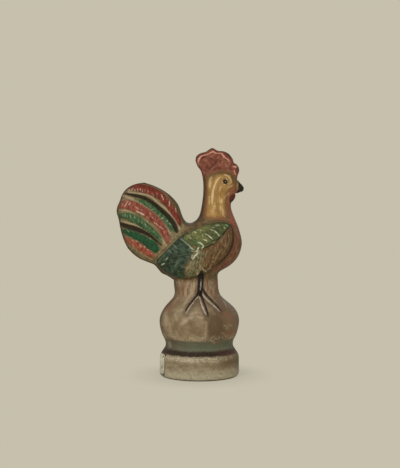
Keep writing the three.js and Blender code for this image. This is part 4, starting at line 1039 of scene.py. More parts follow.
def new_mesh(name, points, faces):
    """A mesh from arrays of points and triangles."""
    mesh = bpy.data.meshes.new(name)
    mesh.vertices.add(len(points))
    mesh.vertices.foreach_set("co", np.ascontiguousarray(points, np.float32).ravel())
    mesh.loops.add(faces.size)
    mesh.loops.foreach_set("vertex_index", np.ascontiguousarray(faces, np.int32).ravel())
    mesh.polygons.add(len(faces))
    mesh.polygons.foreach_set("loop_start", np.arange(0, faces.size, 3, dtype=np.int32))
    mesh.update(calc_edges=True)
    return mesh


class Solid:
    """A closed surface in millimetres."""

    def __init__(self, points, faces):
        self.points, self.faces = points, faces

    def _made_with(self, other, operation):
        bench = []
        for name, solid in (("kept", self), ("tool", other)):
            mesh = new_mesh(name, solid.points, solid.faces)
            bench.append(bpy.data.objects.new(name, mesh))
            scene.collection.objects.link(bench[-1])
        cut = bench[0].modifiers.new("cut", "BOOLEAN")
        cut.operation, cut.solver, cut.object = operation, "MANIFOLD", bench[1]
        ready = bench[0].evaluated_get(bpy.context.evaluated_depsgraph_get())
        made = ready.to_mesh()
        made.calc_loop_triangles()
        points = np.empty(3 * len(made.vertices), np.float32)
        faces = np.empty(3 * len(made.loop_triangles), np.int32)
        made.vertices.foreach_get("co", points)
        made.loop_triangles.foreach_get("vertices", faces)
        ready.to_mesh_clear()
        for piece in bench:
            mesh = piece.data
            bpy.data.objects.remove(piece)
            bpy.data.meshes.remove(mesh)
        return Solid(points.reshape(-1, 3).astype(float), faces.reshape(-1, 3))

    def __add__(self, other):
        return self._made_with(other, "UNION")

    def __sub__(self, other):
        return self._made_with(other, "DIFFERENCE")

    def __and__(self, other):
        return self._made_with(other, "INTERSECT")

    def volume(self):
        """The sum over all triangles of a . (b x c) / 6."""
        a, b, c = (self.points[self.faces[:, k]] for k in range(3))
        return (a * np.cross(b, c)).sum() / 6

    def outward(self):
        """The same solid with its faces turned outwards."""
        return self if self.volume() > 0 else Solid(self.points, self.faces[:, ::-1])

    def mirrored(self):
        """The same solid on the other side of the middle plane."""
        return Solid(self.points * [1, -1, 1], self.faces[:, ::-1])


def loft(rings):
    """A solid through closed rings of points, each end closed by a fan from the ring's mean."""
    rings = np.asarray(rings, float)
    rows, columns = rings.shape[:2]
    i, j = (index.ravel() for index in np.mgrid[0:rows - 1, 0:columns])
    a, b = i * columns + j, i * columns + (j + 1) % columns
    c, d = b + columns, a + columns
    k = np.arange(columns)
    following = (k + 1) % columns
    first, last, end = rows * columns, rows * columns + 1, (rows - 1) * columns
    low = np.stack([np.full_like(k, first), following, k], 1)
    high = np.stack([np.full_like(k, last), end + k, end + following], 1)
    walls = [np.stack([a, b, c], 1), np.stack([a, c, d], 1)]
    points = np.vstack([rings.reshape(-1, 3), rings[0].mean(axis=0), rings[-1].mean(axis=0)])
    return Solid(points, np.vstack([*walls, low, high])).outward()


def box(low, high):
    """A box between two opposite corners."""
    (x0, y0, z0), (x1, y1, z1) = low, high
    ring = [(x0, y0), (x1, y0), (x1, y1), (x0, y1)]
    return loft([[(x, y, z) for x, y in ring] for z in (z0, z1)])


figure = Solid(points, faces).outward()
print("figure:", round(figure.volume() / 1000, 1), "cm3 if it were solid")

# %% [markdown]
# Beak and wattle. The beak is a short blunt wedge: ellipses that shrink towards the tip, with the
# line of the mouth pressed into its sides. The wattle is a pair of small drops that hang side by
# side under it. Both sink into the head and are joined to it.

# %% Beak
TURN = np.linspace(0, 2 * math.pi, 48, endpoint=False)[None, :]
# A ring of the beak is its x and z, half its height and half its width.
BEAK_RINGS = [
    (24.2, 136.6, 5.2, 4.2), (26.4, 136.5, 5.3, 4.3), (28, 136.2, 4.9, 4), (30, 135.5, 3.5, 3.1),
    (31.8, 134.9, 2.3, 2.1), (32.65, 134.7, 1.2, 1.1), (32.92, 134.7, 0.2, 0.2),
]


def beak():
    """Ellipses from ring to ring, drawn in by a tenth along the mouth line."""
    x, z, tall, wide = (column[:, None] for column in curve_through(BEAK_RINGS, 6).T)
    mouth = np.exp(-(((np.cos(TURN) + 0.1) / 0.1) ** 2)) * smooth_step(x, 26, 28.5)
    y = wide * np.sin(TURN) * (1 - 0.14 * mouth)
    return loft(np.stack([x + 0 * TURN, y, z + tall * np.cos(TURN)], axis=-1))


print("beak:", round(beak().volume()), "mm3")

# %% Wattle
WATTLE_TOP = np.array([24.6, 132.2])
WATTLE_LONG = 7.7


def wattle(side):
    """A drop on one side: its radius is 2.5 sin(pi s^0.8)^0.7 down its length."""
    s = np.linspace(0.01, 0.99, 26)[:, None]
    radius = 2.5 * np.sin(math.pi * s**0.8) ** 0.7
    x = WATTLE_TOP[0] - 1.6 * s + radius * np.cos(TURN)
    y = side * 1.1 + 0.85 * radius * np.sin(TURN)
    z = WATTLE_TOP[1] - WATTLE_LONG * s + 0 * TURN
    return loft(np.stack([x, y, z], axis=-1))


figure = figure + beak() + wattle(1) + wattle(-1)
print("figure with beak and wattle:", len(figure.faces), "triangles")

# %% [markdown]
# The hollow. Plaster is poured into the closed mould, swilled round and poured out again, which
# leaves a wall of even thickness. The hollow is lofted through half ellipses that lie one wall
# inside the outline, up the foot and the bird's trunk to the head.

# %% Wall, joint and the tables of the hollow
WALL = 5.0
SLIP_THICKNESS = 1.0
BEAD_THICKNESS = 2.4
BEAD_WIDTH = 12.0
THINNEST_CORE = 1.2
HOLLOW_TOP = 6.4
KNOT_LENGTH = 11.0
RINGS_PER_KNOT = 6
HOLLOW_BACK = [
    (-COLUMN_RADIUS, 0, 0), (-19, 9, 0.9), (-20, 20, 1.5), (-14, 31, 2), (-6, 39, 2.5),
    *NAPE[-2:-9:-1],
]
LIFT = np.array([COLUMN_LEAN, SEAT])
FAR_OUT = 4 * SEAT


def drawn_in(edge, spine, wall):
    """Outline points moved towards the spine by the wall, but never quite onto it."""
    gap = edge - spine
    reach = np.linalg.norm(gap, axis=1, keepdims=True)
    return spine + gap * np.maximum(THINNEST_CORE, reach - wall) / reach


def hollow(wall):
    """Half ellipses in front of and behind the spine, one wall inside the outline."""
    radius, height = np.vstack([[DRUM_RADIUS, -1], FOOT[1:-1]]).T
    axis = COLUMN_LEAN * smooth_step(height, 0.75 * BALL_TOP, SEAT)
    spine = np.column_stack([axis, height])
    reach = np.column_stack([radius, 0 * radius])
    parts = [(spine + reach, spine - reach, spine, radius)]
    places = np.arange(0, HOLLOW_TOP - wall / KNOT_LENGTH, 1 / RINGS_PER_KNOT)
    rows = look_up(spine_rows, 4, places)
    front = look_up(curve_through(BREAST_AND_FACE, LOOK_UP_STEPS), 2, places)[:, :2]
    back = look_up(curve_through(HOLLOW_BACK, LOOK_UP_STEPS), 2, places)[:, :2]
    parts.append((front + LIFT, back + LIFT, rows[:, :2] + LIFT, rows[:, 2]))
    front, back, spine, depth = (np.concatenate(column) for column in zip(*parts))
    depth = depth - wall
    half = np.linalg.norm(front - back, axis=1) / 2 - wall
    narrow = np.flatnonzero(np.minimum(depth, half) < THINNEST_CORE)
    end = narrow[0] if len(narrow) else len(depth)
    front, back = drawn_in(front, spine, wall), drawn_in(back, spine, wall)
    turn = TURN[..., None]
    edge = np.where(np.cos(turn) >= 0, front[:, None], back[:, None])
    xz = spine[:, None] + (edge - spine[:, None]) * np.abs(np.cos(turn))
    y = depth[:, None] * np.sin(TURN)
    return loft(np.stack([xz[..., 0], y, xz[..., 1]], axis=-1)[:end])


def disc(radius, low, high):
    """An upright cylinder on the foot's axis."""
    turn = np.linspace(0, 2 * math.pi, 128, endpoint=False)
    ring = np.column_stack([radius * np.cos(turn), radius * np.sin(turn)])
    return loft([np.column_stack([ring, np.full(len(ring), z)]) for z in (low, high)])


print("hollow:", round(hollow(WALL).volume() / 1000, 1), "cm3")

# %% [markdown]
# Under the foot a plug of plaster closes the hollow, and at the back of the foot a filler patch is
# let into the drum over the joint. Its edge is ragged: the slot's outline is a rounded rectangle
# whose sides wander a little.

# %% Seats for the plug and the patch
PLUG_THICKNESS = 6.0
PLUG_RADIUS = DRUM_RADIUS - WALL + 1.2
PATCH_WIDTH = 18.0
PATCH_DEPTH = 2.2
PATCH_BOTTOM = 1.6
SLOT_MARGIN = 0.45
SLOT_MIDDLE = (DRUM_HEIGHT + PATCH_BOTTOM) / 2
SLOT_HALF_WIDE = PATCH_WIDTH / 2 - SLOT_MARGIN
SLOT_HALF_TALL = (DRUM_HEIGHT - PATCH_BOTTOM) / 2 - SLOT_MARGIN


def patch_prism(clearance):
    """A rounded rectangle in y and z, with sides that wander by up to 0.35 mm, carried along x."""
    turn = np.linspace(0, 2 * math.pi, 160, endpoint=False)
    half_wide, half_tall = SLOT_HALF_WIDE - clearance, SLOT_HALF_TALL - clearance
    square = (np.abs(np.cos(turn)) ** 5 + np.abs(np.sin(turn)) ** 5) ** -0.2
    wander = 0.2 * np.sin(3 * turn + 1) + 0.12 * np.sin(11 * turn) + 0.08 * np.sin(17 * turn + 2)
    y = (half_wide * square + wander) * np.cos(turn)
    z = SLOT_MIDDLE + (half_tall * square + wander) * np.sin(turn)
    inner = -(DRUM_RADIUS - PATCH_DEPTH) - clearance
    return loft([np.column_stack([np.full_like(y, x), y, z]) for x in (-FAR_OUT, inner)])


print("patch prism:", len(patch_prism(0).faces), "triangles")

# %% [markdown]
# Now the casting is parted. The left half is what lies beyond the slip, less the hollow and the
# two seats. The right half is its mirror image. The slip fills the joint and carries a bead of
# plaster along the inside.

# %% Part the casting
BOND_GAP = 0.3
PATCH_CLEARANCE = 0.06
JOINT = SLIP_THICKNESS / 2 + 0.05


def half_casting(whole):
    """One side of the figure, hollowed, with the seats for plug and patch."""
    outside = box((-FAR_OUT, JOINT, -FAR_OUT), (FAR_OUT, FAR_OUT, FAR_OUT))
    half = (whole & outside) - hollow(WALL) - disc(PLUG_RADIUS, -1, PLUG_THICKNESS)
    return half - patch_prism(0)


def slip_of(whole):
    """The sheet of plaster between the halves and the bead along its inside."""
    thin, wide = SLIP_THICKNESS / 2, BEAD_WIDTH / 2
    sheet = whole & box((-FAR_OUT, -thin, 0), (FAR_OUT, thin, FAR_OUT))
    bead = hollow(WALL + BOND_GAP) & box((-FAR_OUT, -wide, 0), (FAR_OUT, wide, FAR_OUT))
    core = hollow(WALL + BOND_GAP + BEAD_THICKNESS)
    seat = disc(PLUG_RADIUS + BOND_GAP, -1, PLUG_THICKNESS + BOND_GAP)
    joined = (sheet + bead) - core - seat
    return joined - patch_prism(0)


left_casting = half_casting(figure)
right_casting = left_casting.mirrored()
slip = slip_of(figure)
patch = figure & patch_prism(PATCH_CLEARANCE)
for name, solid in (("left casting", left_casting), ("slip", slip), ("patch", patch)):
    print(name, len(solid.faces), "triangles,", round(solid.volume() / 1000, 2), "cm3")

# %% [markdown]
# The plug is poured through the open foot and struck off roughly, so its underside is dished and
# lumpy. It is a grid of rings round the foot's axis: across the underside, over a rounded rim and
# back across the top.

# %% Poured plug
UNDER_RINGS, TOP_RINGS = 30, 14
# A ring of the rim is its share of the plug's radius and its height.
RIM = np.array([(0.99, 0.4), (1, 0.9), (1, 4.9), (0.995, 5.3), (0.98, 5.5)])


def lumps(x, y, coarse):
    """A smooth unevenness between -1 and 1: the mean of three crossing sine waves."""
    waves = np.sin(x / coarse + 1.1) * np.cos(y / coarse - 0.4), np.sin((x + y) / coarse * 0.61)
    return (waves[0] + waves[1] + np.sin((x - 1.7 * y) / coarse * 1.3)) / 3


def poured_plug():
    """Rings of a profile from the axis below, out over the rim and back to the axis above."""
    radius = PLUG_RADIUS - BOND_GAP
    reach = np.concatenate([
        np.linspace(0.02, 0.97, UNDER_RINGS), RIM[:, 0], np.linspace(0.95, 0.02, TOP_RINGS)])
    rise = np.concatenate([
        0.7 - 0.45 * np.linspace(0, 1, UNDER_RINGS) ** 2, RIM[:, 1], np.full(TOP_RINGS, 5.6)])
    x = radius * reach[:, None] * np.cos(TURN)
    y = radius * reach[:, None] * np.sin(TURN)
    under = (np.arange(len(reach)) <= UNDER_RINGS)[:, None]
    z = rise[:, None] + np.where(under, 0.22 * lumps(x, y, 4.2) + 0.05 * lumps(x, y, 1.1), 0)
    return loft(np.stack([x, y, z], axis=-1))


plug = poured_plug()
lowest = plug.points[:, 2].min()
print("plug:", round(plug.volume() / 1000, 2), "cm3, lowest point", round(lowest, 2), "mm")

# %% [markdown]
# The filler patch was pressed in with a thumb: its face is a little uneven and stands just off the
# drum's curve. Only points on its outer face move, and only inwards, so it stays within the foot's
# size.

# %% Filler patch


def pressed(solid):
    """Draws the outer face in by up to 0.3 mm in slow dimples."""
    points = solid.points.copy()
    radius = np.hypot(points[:, 0], points[:, 1])
    outer = smooth_step(radius, DRUM_RADIUS - 1.2, DRUM_RADIUS - 0.4)
    dimple = 0.16 * (1 + lumps(points[:, 1], points[:, 2], 1.9)) * outer
    points[:, 0] += dimple
    return Solid(points, solid.faces)


patch = pressed(patch)
print("patch:", len(patch.points), "points")

# %% [markdown]
# The paint. A material in Blender is a net of small nodes. To write such a net as sums, one class
# wraps a node's output: arithmetic on it adds Math nodes, and its node method adds any other node.

# %% Wires


class Wire:
    """The output of a material's node. Sums, differences and products of wires and numbers add
    Math nodes to the material."""

    def __init__(self, tree, socket=None):
        self.tree, self.socket = tree, socket

    def node(self, kind, settings=None, inputs=None, output=0):
        """Adds a node of a kind: its settings first, then the values or links of its sockets."""
        made = self.tree.nodes.new(kind)
        for name, value in (settings or {}).items():
            setattr(made, name, value)
        for place, value in (inputs or {}).items():
            if isinstance(value, Wire):
                self.tree.links.new(value.socket, made.inputs[place])
            else:
                made.inputs[place].default_value = value
        return Wire(self.tree, made.outputs[output] if len(made.outputs) else None)

    def reckon(self, operation, first, second=0.0):
        return self.node("ShaderNodeMath", {"operation": operation}, {0: first, 1: second})

    def __add__(self, other):
        return self.reckon("ADD", self, other)

    def __sub__(self, other):
        return self.reckon("SUBTRACT", self, other)

    def __rsub__(self, other):
        return self.reckon("SUBTRACT", other, self)

    def __mul__(self, other):
        return self.reckon("MULTIPLY", self, other)

    __radd__, __rmul__ = __add__, __mul__


def paint(red, green, blue):
    """A colour as a painter would match it on a screen, turned into linear light: below 0.04045
    a share s becomes s / 12.92, above it ((s + 0.055) / 1.055) ^ 2.4."""
    shares = np.array([red, green, blue]) / 255
    light = np.where(shares > 0.04045, ((shares + 0.055) / 1.055) ** 2.4, shares / 12.92)
    return (*light.tolist(), 1.0)


print("a mid tan in linear light:", np.round(paint(147, 125, 96), 3))

# %% [markdown]
# Every coat needs the same few things: the place in millimetres, the marks that were measured into
# the mesh, grains of noise at some scale, soft steps and a way to lay one colour over another. They
# are kept together as a bench.

# %% A painter's bench


class Bench:
    """The tools that all coats share, for one material."""

    def __init__(self, tree):
        self.wire = Wire(tree)
        place = self.wire.node("ShaderNodeTexCoord", output="Object")
        self.place = self.wire.node(
            "ShaderNodeVectorMath", {"operation": "SCALE"}, {0: place, "Scale": 1 / MM})
        self.x, self.y, self.z = (
            self.wire.node("ShaderNodeSeparateXYZ", None, {0: self.place}, output=k)
            for k in range(3))
        self.depth = self.wire.reckon("ABSOLUTE", self.y)
        self.fine = self.grain(0.9, 4)
        self.wander = self.grain(0.28, 3, shift=7) - 0.5
        self.dry = self.flecks(1.5, 4, 17, 0.34, 0.62)

    def grain(self, scale, detail=3, stretch=(1, 1, 1), shift=0.0, rough=0.55):
        """Noise around one half, with features of about 1 / scale millimetres."""
        place = self.wire.node(
            "ShaderNodeVectorMath", {"operation": "MULTIPLY_ADD"},
            {0: self.place, 1: stretch, 2: (shift, shift * 1.7, -shift)})
        return self.wire.node(
            "ShaderNodeTexNoise", None,
            {"Vector": place, "Scale": scale, "Detail": detail, "Roughness": rough})

    def mark(self, name):
        """A measure that the mesh carries, in millimetres."""
        return self.wire.node(
            "ShaderNodeAttribute", {"attribute_name": name}, None, output="Fac")

    def step(self, value, low, high):
        """0 below low, 1 above high and a smooth S between."""
        return self.wire.node(
            "ShaderNodeMapRange", {"interpolation_type": "SMOOTHSTEP"},
            {0: value, 1: low, 2: high, 3: 0.0, 4: 1.0})

    def lay(self, below, above, cover):
        """One colour laid over another, where cover is 1."""
        return self.wire.node(
            "ShaderNodeMix", {"data_type": "RGBA"}, {0: cover, 6: below, 7: above}, output=2)

    def between(self, value, low, high, soft=1.0):
        """1 between low and high, with soft ends."""
        rise = self.step(value, low - soft, low + soft)
        return rise * (1 - self.step(value, high - soft, high + soft))

    def area(self, name, soft=1.0, ragged=1.6):
        """1 inside a measured area, with a ragged soft edge."""
        return self.step(self.mark(name) + self.wander * ragged, -soft, soft)

    def stroke(self, name, soft=0.35, ragged=0.7, wide=0.0):
        """1 inside a measured stroke, with an edge that a brush would leave."""
        edge = (self.fine - 0.5) * ragged + self.wander * ragged + wide
        return self.step(self.mark(name) + edge, -soft, soft)

    def layers(self, coat, *rows):
        """Colours laid over a coat in turn. A row is a colour and its cover."""
        for colour, cover in rows:
            coat = self.lay(coat, colour, cover)
        return coat

    def touches(self, coat, *rows):
        """Dabs touched on in turn, by a brush that is nearly dry. A row is the dabs' name, their
        colour, its cover and, where it isn't 0.4, the softness of their edge."""
        edge = (self.fine - 0.5) * 1.1 + self.wander * 0.5 - 0.14
        for name, colour, cover, soft in (row if len(row) == 4 else (*row, 0.4) for row in rows):
            touch = self.step(self.mark(name) + edge, -soft, soft)
            coat = self.lay(coat, colour, touch * (0.3 + self.dry * 0.7) * cover)
        return coat

    def flecks(self, scale, detail, shift, low, high, stretch=(1, 1, 1), rough=0.55):
        """Noise as soft-edged flecks: 0 where it is below low, 1 where it is above high."""
        return self.step(self.grain(scale, detail, stretch, shift, rough), low, high)

    def mottle(self, dark, pale, scale, low=0.36, high=0.62, stretch=(1, 1, 1), shift=0.0):
        """Two colours run into each other by noise."""
        return self.lay(dark, pale, self.flecks(scale, 5, shift, low, high, stretch))


print("coats share", len([name for name in vars(Bench) if not name.startswith("_")]), "tools")

# %% [markdown]
# The foot is a thin clay-coloured coat over plaster: a ball that is browner to the right, partly as
# painted shade, a grey green groove, a dark line under it and a cream drum that is darker towards
# the front as painted shade, with a painted highlight along its top edge, and worn at its lower
# edge.

# %% Coat of the foot
CLAY, CLAY_DARK, CLAY_PALE = paint(142, 124, 96), paint(122, 103, 76), paint(172, 151, 124)
FOOT_HIGHLIGHT, FOOT_SHADE, FOOT_RUST = paint(196, 176, 148), paint(66, 50, 34), paint(136, 84, 60)
UMBER, COLUMN_BROWN, COLUMN_TAN = paint(92, 72, 50), paint(112, 88, 62), paint(160, 137, 110)
MOSS, MOSS_DEEP, SOOT = paint(94, 94, 74), paint(84, 77, 62), paint(46, 36, 26)
MOSS_GREEN, MOSS_PALE, PLUM = paint(74, 92, 70), paint(134, 130, 114), paint(64, 42, 34)
CREAM, CREAM_DARK, CREAM_BROWN = paint(146, 132, 106), paint(126, 110, 84), paint(108, 88, 64)
CHALK, DRUM_HIGHLIGHT_AND_WEAR, DRUM_BROWN = paint(172, 163, 138), paint(188, 176, 146), paint(102, 82, 58)


def ball_coat(bench):
    """Clay, mottled: browner to the right with umber in a patch there, partly painted shade,
    darker on its upper sides, with pale specks along its lower rim.
    """
    # The brown to the right and the umber patch are partly painted shade, on the side away from the
    # key lamp.
    brown = bench.step(bench.x + bench.wander * 8, 5, 13)
    left = 1 - bench.step(bench.x + bench.wander * 8, -26, -18)
    upper = bench.step(bench.z + bench.wander * 6, 44, 51)
    rim = bench.between(bench.z + bench.wander * 2, 28, 31.6, 1.2)
    return bench.layers(
        bench.mottle(CLAY_DARK, CLAY, 0.16, 0.38, 0.64),
        (CLAY_PALE, bench.flecks(0.5, 4, 4, 0.56, 0.76) * 0.4),
        (paint(118, 96, 72), brown * 0.9), (UMBER, brown * upper * 0.6),
        (paint(102, 76, 52), left * upper * 0.75),
        (UMBER, bench.area("ball_shade", 3, 3.4) * 0.85),
        (paint(196, 180, 152), rim * bench.flecks(1.3, 3, 12, 0.5, 0.62) * 0.6))


def column_coat(bench, coat):
    """Upright strokes of tan and brown under the bird, browner to the right, partly painted shade.
    """
    tan = bench.mottle(COLUMN_BROWN, COLUMN_TAN, 0.6, stretch=(1, 1, 0.16), shift=5)
    high = bench.step(bench.z + bench.wander * 5, 54, 62)
    brown = bench.step(bench.x + bench.wander * 5, 4, 10)
    return bench.layers(coat, (tan, high), (paint(120, 92, 64), high * brown * 0.8))


def drum_coat(bench):
    """Cream, browner and darker towards the front as painted shade, with a painted highlight
    along its top edge, chalky and speckled where it is worn below.
    """
    # The brown and the darker front are painted shade, and the pale band along the top edge is a
    # painted highlight.
    brown = bench.step(bench.x + bench.wander * 6, 4, 16)
    front = bench.step(bench.x + bench.wander * 4, 20, 26)
    lip_highlight = bench.between(bench.z + bench.wander * 1.5, 13.6, 16.6, 0.8)
    streaks = bench.flecks(0.6, 4, 18, 0.44, 0.6, (1, 1, 2.5))
    worn = 1 - bench.step(bench.z + bench.wander * 6, 2.5, 10)
    coat = bench.layers(
        bench.mottle(CREAM_DARK, CREAM, 0.2, stretch=(1, 1, 2), shift=15),
        (CREAM_BROWN, brown * bench.step(bench.z, 7, 12) * 0.9),
        (paint(180, 168, 140), lip_highlight * streaks * (1 - 0.7 * brown)),
        (paint(92, 78, 56), front * 0.6),
        (CHALK, worn * (0.45 + bench.flecks(0.9, 5, 21, 0.38, 0.62) * 0.5)))
    return bench.touches(
        coat, ("drum_brown", DRUM_BROWN, 0.5, 1.1), ("drum_highlight_and_wear", DRUM_HIGHLIGHT_AND_WEAR, 0.6, 0.7))


def foot_coat(bench):
    """Drum, dark line, groove and ball, one above the other, then dabs of painted shade, rust
    and painted highlights.
    """
    level = bench.z + bench.wander * 1.4 + (bench.fine - 0.5) * 1.2
    green = bench.step(bench.x + bench.wander * 8, -24, -10)
    brushed = bench.flecks(0.8, 4, 27, 0.36, 0.64, (1, 1, 4))
    groove = bench.touches(
        bench.layers(MOSS_DEEP, (MOSS, green), (MOSS_PALE, brushed * 0.16)),
        ("groove_green", MOSS_GREEN, 0.6, 1.1), ("groove_pale", MOSS_PALE, 0.4, 0.6))
    line = bench.lay(SOOT, PLUM, bench.step(bench.x, 2, 14))
    ball = column_coat(bench, ball_coat(bench))
    coat = bench.layers(
        drum_coat(bench), (line, bench.step(level, 16.3, 17.7)),
        (groove, bench.step(level, 19.4, 21.6)), (ball, bench.step(level, 27, 28.4)))
    return bench.touches(
        coat, ("foot_shade", FOOT_SHADE, 0.75, 1.3), ("foot_rust", FOOT_RUST, 0.75, 1.3),
        ("foot_highlight", FOOT_HIGHLIGHT, 0.6, 1.3))


print("foot colours ready")

# %% [markdown]
# The bird's ground coat: ochre on the hackle, red brown down the front, olive over the back. The
# areas run into one another, as thin colours do.

# %% Coat of the body
OLIVE, OLIVE_DARK = paint(116, 95, 66), paint(86, 70, 44)
OCHRE, OCHRE_EDGE_SHADE, OCHRE_PALE = paint(166, 129, 74), paint(126, 90, 58), paint(222, 194, 146)
HEAD_OCHRE, HEAD_OLIVE, HEAD_HIGHLIGHT = paint(152, 118, 74), paint(82, 62, 32), paint(228, 194, 142)
BRICK, BRICK_DARK, BRICK_TAN = paint(122, 82, 58), paint(94, 58, 40), paint(158, 126, 96)
HEAD_RUST = paint(142, 86, 54)


def body_coat(bench):
    """Olive, with brick at the breast and throat and ochre on head and neck, darker at the neck's
    edges as painted shade, with painted highlights on the face and neck and down the hackle.
    """
    brick = bench.mottle(BRICK_DARK, BRICK, 0.35, 0.3, 0.58, (1, 1, 0.5), 34)
    face = bench.mottle(paint(130, 98, 58), HEAD_OCHRE, 0.4, shift=36)
    hackle = bench.mottle(paint(148, 112, 62), OCHRE, 0.35, 0.34, 0.6, (1, 1, 0.35), 37)
    # The hackle darkens towards the neck's edges: painted shade.
    hackle = bench.lay(OCHRE_EDGE_SHADE, hackle, bench.step(bench.mark("neck") + bench.wander, 0.8, 3.4))
    coat = bench.layers(
        bench.mottle(OLIVE_DARK, OLIVE, 0.3, shift=31), (brick, bench.area("breast", 2, 3)),
        (face, bench.area("head", 1.6, 3)), (hackle, bench.area("neck", 1.2, 2)),
        (paint(154, 86, 64), bench.area("throat", 1.8, 2.4) * 0.8))
    coat = bench.touches(
        coat, ("head_rust", HEAD_RUST, 1.0, 0.9), ("head_olive", HEAD_OLIVE, 1.0, 1.1),
        ("head_highlight", HEAD_HIGHLIGHT, 0.95, 0.8), ("breast_tan", BRICK_TAN, 0.9, 0.6))
    crown = bench.step(bench.mark("comb") + bench.wander * 2, -5, -0.6)
    # The pale streak down the hackle is a painted highlight.
    streak = bench.stroke("streak", 0.45, 0.5)
    return bench.layers(coat, (paint(92, 72, 42), crown * 0.6), (OCHRE_PALE, streak * 0.75))


print("body colours ready")

# %% [markdown]
# The wing: green above its rib, brown below, teal at the rear. The barbs are single touches of a
# fine brush, laid over each other from dark to light.

# %% Coat of the wing
LEAF, LEAF_DEEP, LEAF_OLIVE = paint(86, 90, 54), paint(62, 70, 42), paint(114, 114, 66)
LEAF_GREEN, LEAF_CREAM, LEAF_LINE = paint(62, 106, 58), paint(204, 204, 168), paint(38, 42, 24)
TEAL, TEAL_DARK, TEAL_MIST = paint(60, 76, 58), paint(34, 46, 34), paint(142, 154, 136)
LOAM, LOAM_DARK, BONE = paint(114, 88, 58), paint(82, 58, 36), paint(162, 142, 104)
SIENNA, FRONT_BROWN = paint(150, 92, 56), paint(54, 30, 14)


def wing_coat(bench, coat):
    """Upper vane, lower vane and rear, then the dabs over them and the lines round them."""
    above = 0 - bench.mark("wing_across")
    upper = bench.mottle(LEAF_DEEP, LEAF, 0.55, 0.34, 0.6, (1, 1, 1.6), 44)
    olive = bench.area("olive_field", 1.4, 3) * bench.flecks(0.6, 4, 45, 0.36, 0.6)
    upper = bench.lay(upper, LEAF_OLIVE, olive)
    lower = bench.mottle(LOAM_DARK, LOAM, 0.6, 0.36, 0.6, (1, 1, 0.5), 47)
    field = bench.mottle(paint(76, 70, 46), paint(124, 116, 84), 0.7, 0.38, 0.6, (1, 1, 0.6), 49)
    rear = bench.mottle(TEAL_DARK, TEAL, 0.4, 0.38, 0.62, shift=51)
    rim = 1 - bench.step(bench.mark("wing") + bench.wander * 0.8, 0.1, 1)
    vane = bench.layers(
        lower, (field, bench.area("barb_field", 1.4, 3)),
        (LOAM_DARK, bench.stroke("wing_front", 1.6) * 0.3),
        (upper, bench.step(above + bench.wander, -0.4, 0.5)),
        (rear, bench.area("wing_rear", 1.8, 4)))
    vane = bench.touches(
        vane, ("wing_green", LEAF_GREEN, 0.9), ("wing_deep", LEAF_LINE, 1.0),
        ("wing_mist", TEAL_MIST, 0.55), ("wing_bone", BONE, 0.9), ("wing_sienna", SIENNA, 0.8))
    vane = bench.lay(vane, LEAF_LINE, bench.stroke("leaf_line", 0.4, 0.5) * 0.8)
    # The cream touches include a painted highlight where the rib breaks.
    vane = bench.touches(vane, ("wing_cream_and_highlight", LEAF_CREAM, 1.1))
    return bench.layers(
        coat, (bench.lay(vane, LEAF_LINE, rim * 0.5), bench.step(bench.mark("wing"), -0.3, 0.4)),
        (FRONT_BROWN, bench.stroke("front_shade", 0.6) * 0.95))


print("wing colours ready")

# %% [markdown]
# The tail: tan ground, bands of red, rose and green with touches of pale paint over them, an
# emerald one that is solid, and near-black paint in the two deep grooves, partly as painted shade.

# %% Coat of the tail
TAIL_TAN, TAIL_RIM, TAIL_OLIVE = paint(130, 114, 82), paint(104, 90, 60), paint(82, 66, 40)
CRIMSON, CRIMSON_DEEP = paint(124, 52, 38), paint(86, 38, 28)
ROSE, ROSE_DEEP, SALMON = paint(144, 80, 62), paint(112, 50, 40), paint(156, 84, 62)
FERN, FERN_DEEP = paint(72, 98, 62), paint(40, 68, 40)
EMERALD, EMERALD_DEEP = paint(26, 82, 48), paint(40, 58, 40)
TAIL_BONE, TAIL_MINT, BLACK_GREEN = paint(224, 200, 172), paint(186, 196, 160), paint(30, 28, 18)


def tail_coat(bench, coat):
    """Ground, pale lines, feathers and the dabs on them, then the dark grooves."""
    ground = bench.mottle(TAIL_RIM, TAIL_TAN, 0.4, shift=61)
    coat = bench.layers(
        coat, (ground, bench.area("tail", 2, 3)),
        (TAIL_OLIVE, bench.area("tail_back", 1, 1.5) * 0.75),
        (paint(170, 150, 122), bench.stroke("pale", 0.35, 0.6) * 0.75))
    for name, colour, deep in (
        ("red", CRIMSON, CRIMSON_DEEP), ("rose", ROSE, ROSE_DEEP), ("salmon", SALMON, ROSE_DEEP),
        ("green", FERN, FERN_DEEP), ("emerald", EMERALD, EMERALD_DEEP),
    ):
        body = bench.mottle(deep, colour, 0.55, 0.34, 0.62, (1, 1, 0.6), 64)
        coat = bench.lay(coat, body, bench.stroke(name, 0.6, 1.5))
    coat = bench.touches(
        coat, ("tail_bone", TAIL_BONE, 0.75), ("tail_mint", TAIL_MINT, 0.7),
        ("tail_tan", paint(196, 174, 132), 0.6, 0.5))
    # The near-black paint in the grooves is partly painted shade.
    return bench.lay(coat, BLACK_GREEN, bench.stroke("dark", 0.45, 0.5) * 0.95)


print("tail colours ready")

# %% [markdown]
# The head: a rose-brown comb with a painted highlight along its bevel and soft painted highlights,
# an eye painted as a dark dot with painted highlights in it and round it, a nearly black beak with
# a pale root, partly a painted highlight, and a wattle of dark red, painted darker below as shade.
# The legs are black with a grey painted highlight.

# %% Coat of head and legs
COMB_ROSE, COMB_DARK, COMB_HIGHLIGHT = paint(146, 86, 66), paint(116, 60, 46), paint(226, 172, 148)
BEAK_BLACK, BEAK_HORN, WATTLE_RED = paint(28, 26, 20), paint(92, 84, 68), paint(102, 42, 36)
PITCH, SHINE = paint(24, 20, 19), paint(172, 166, 156)


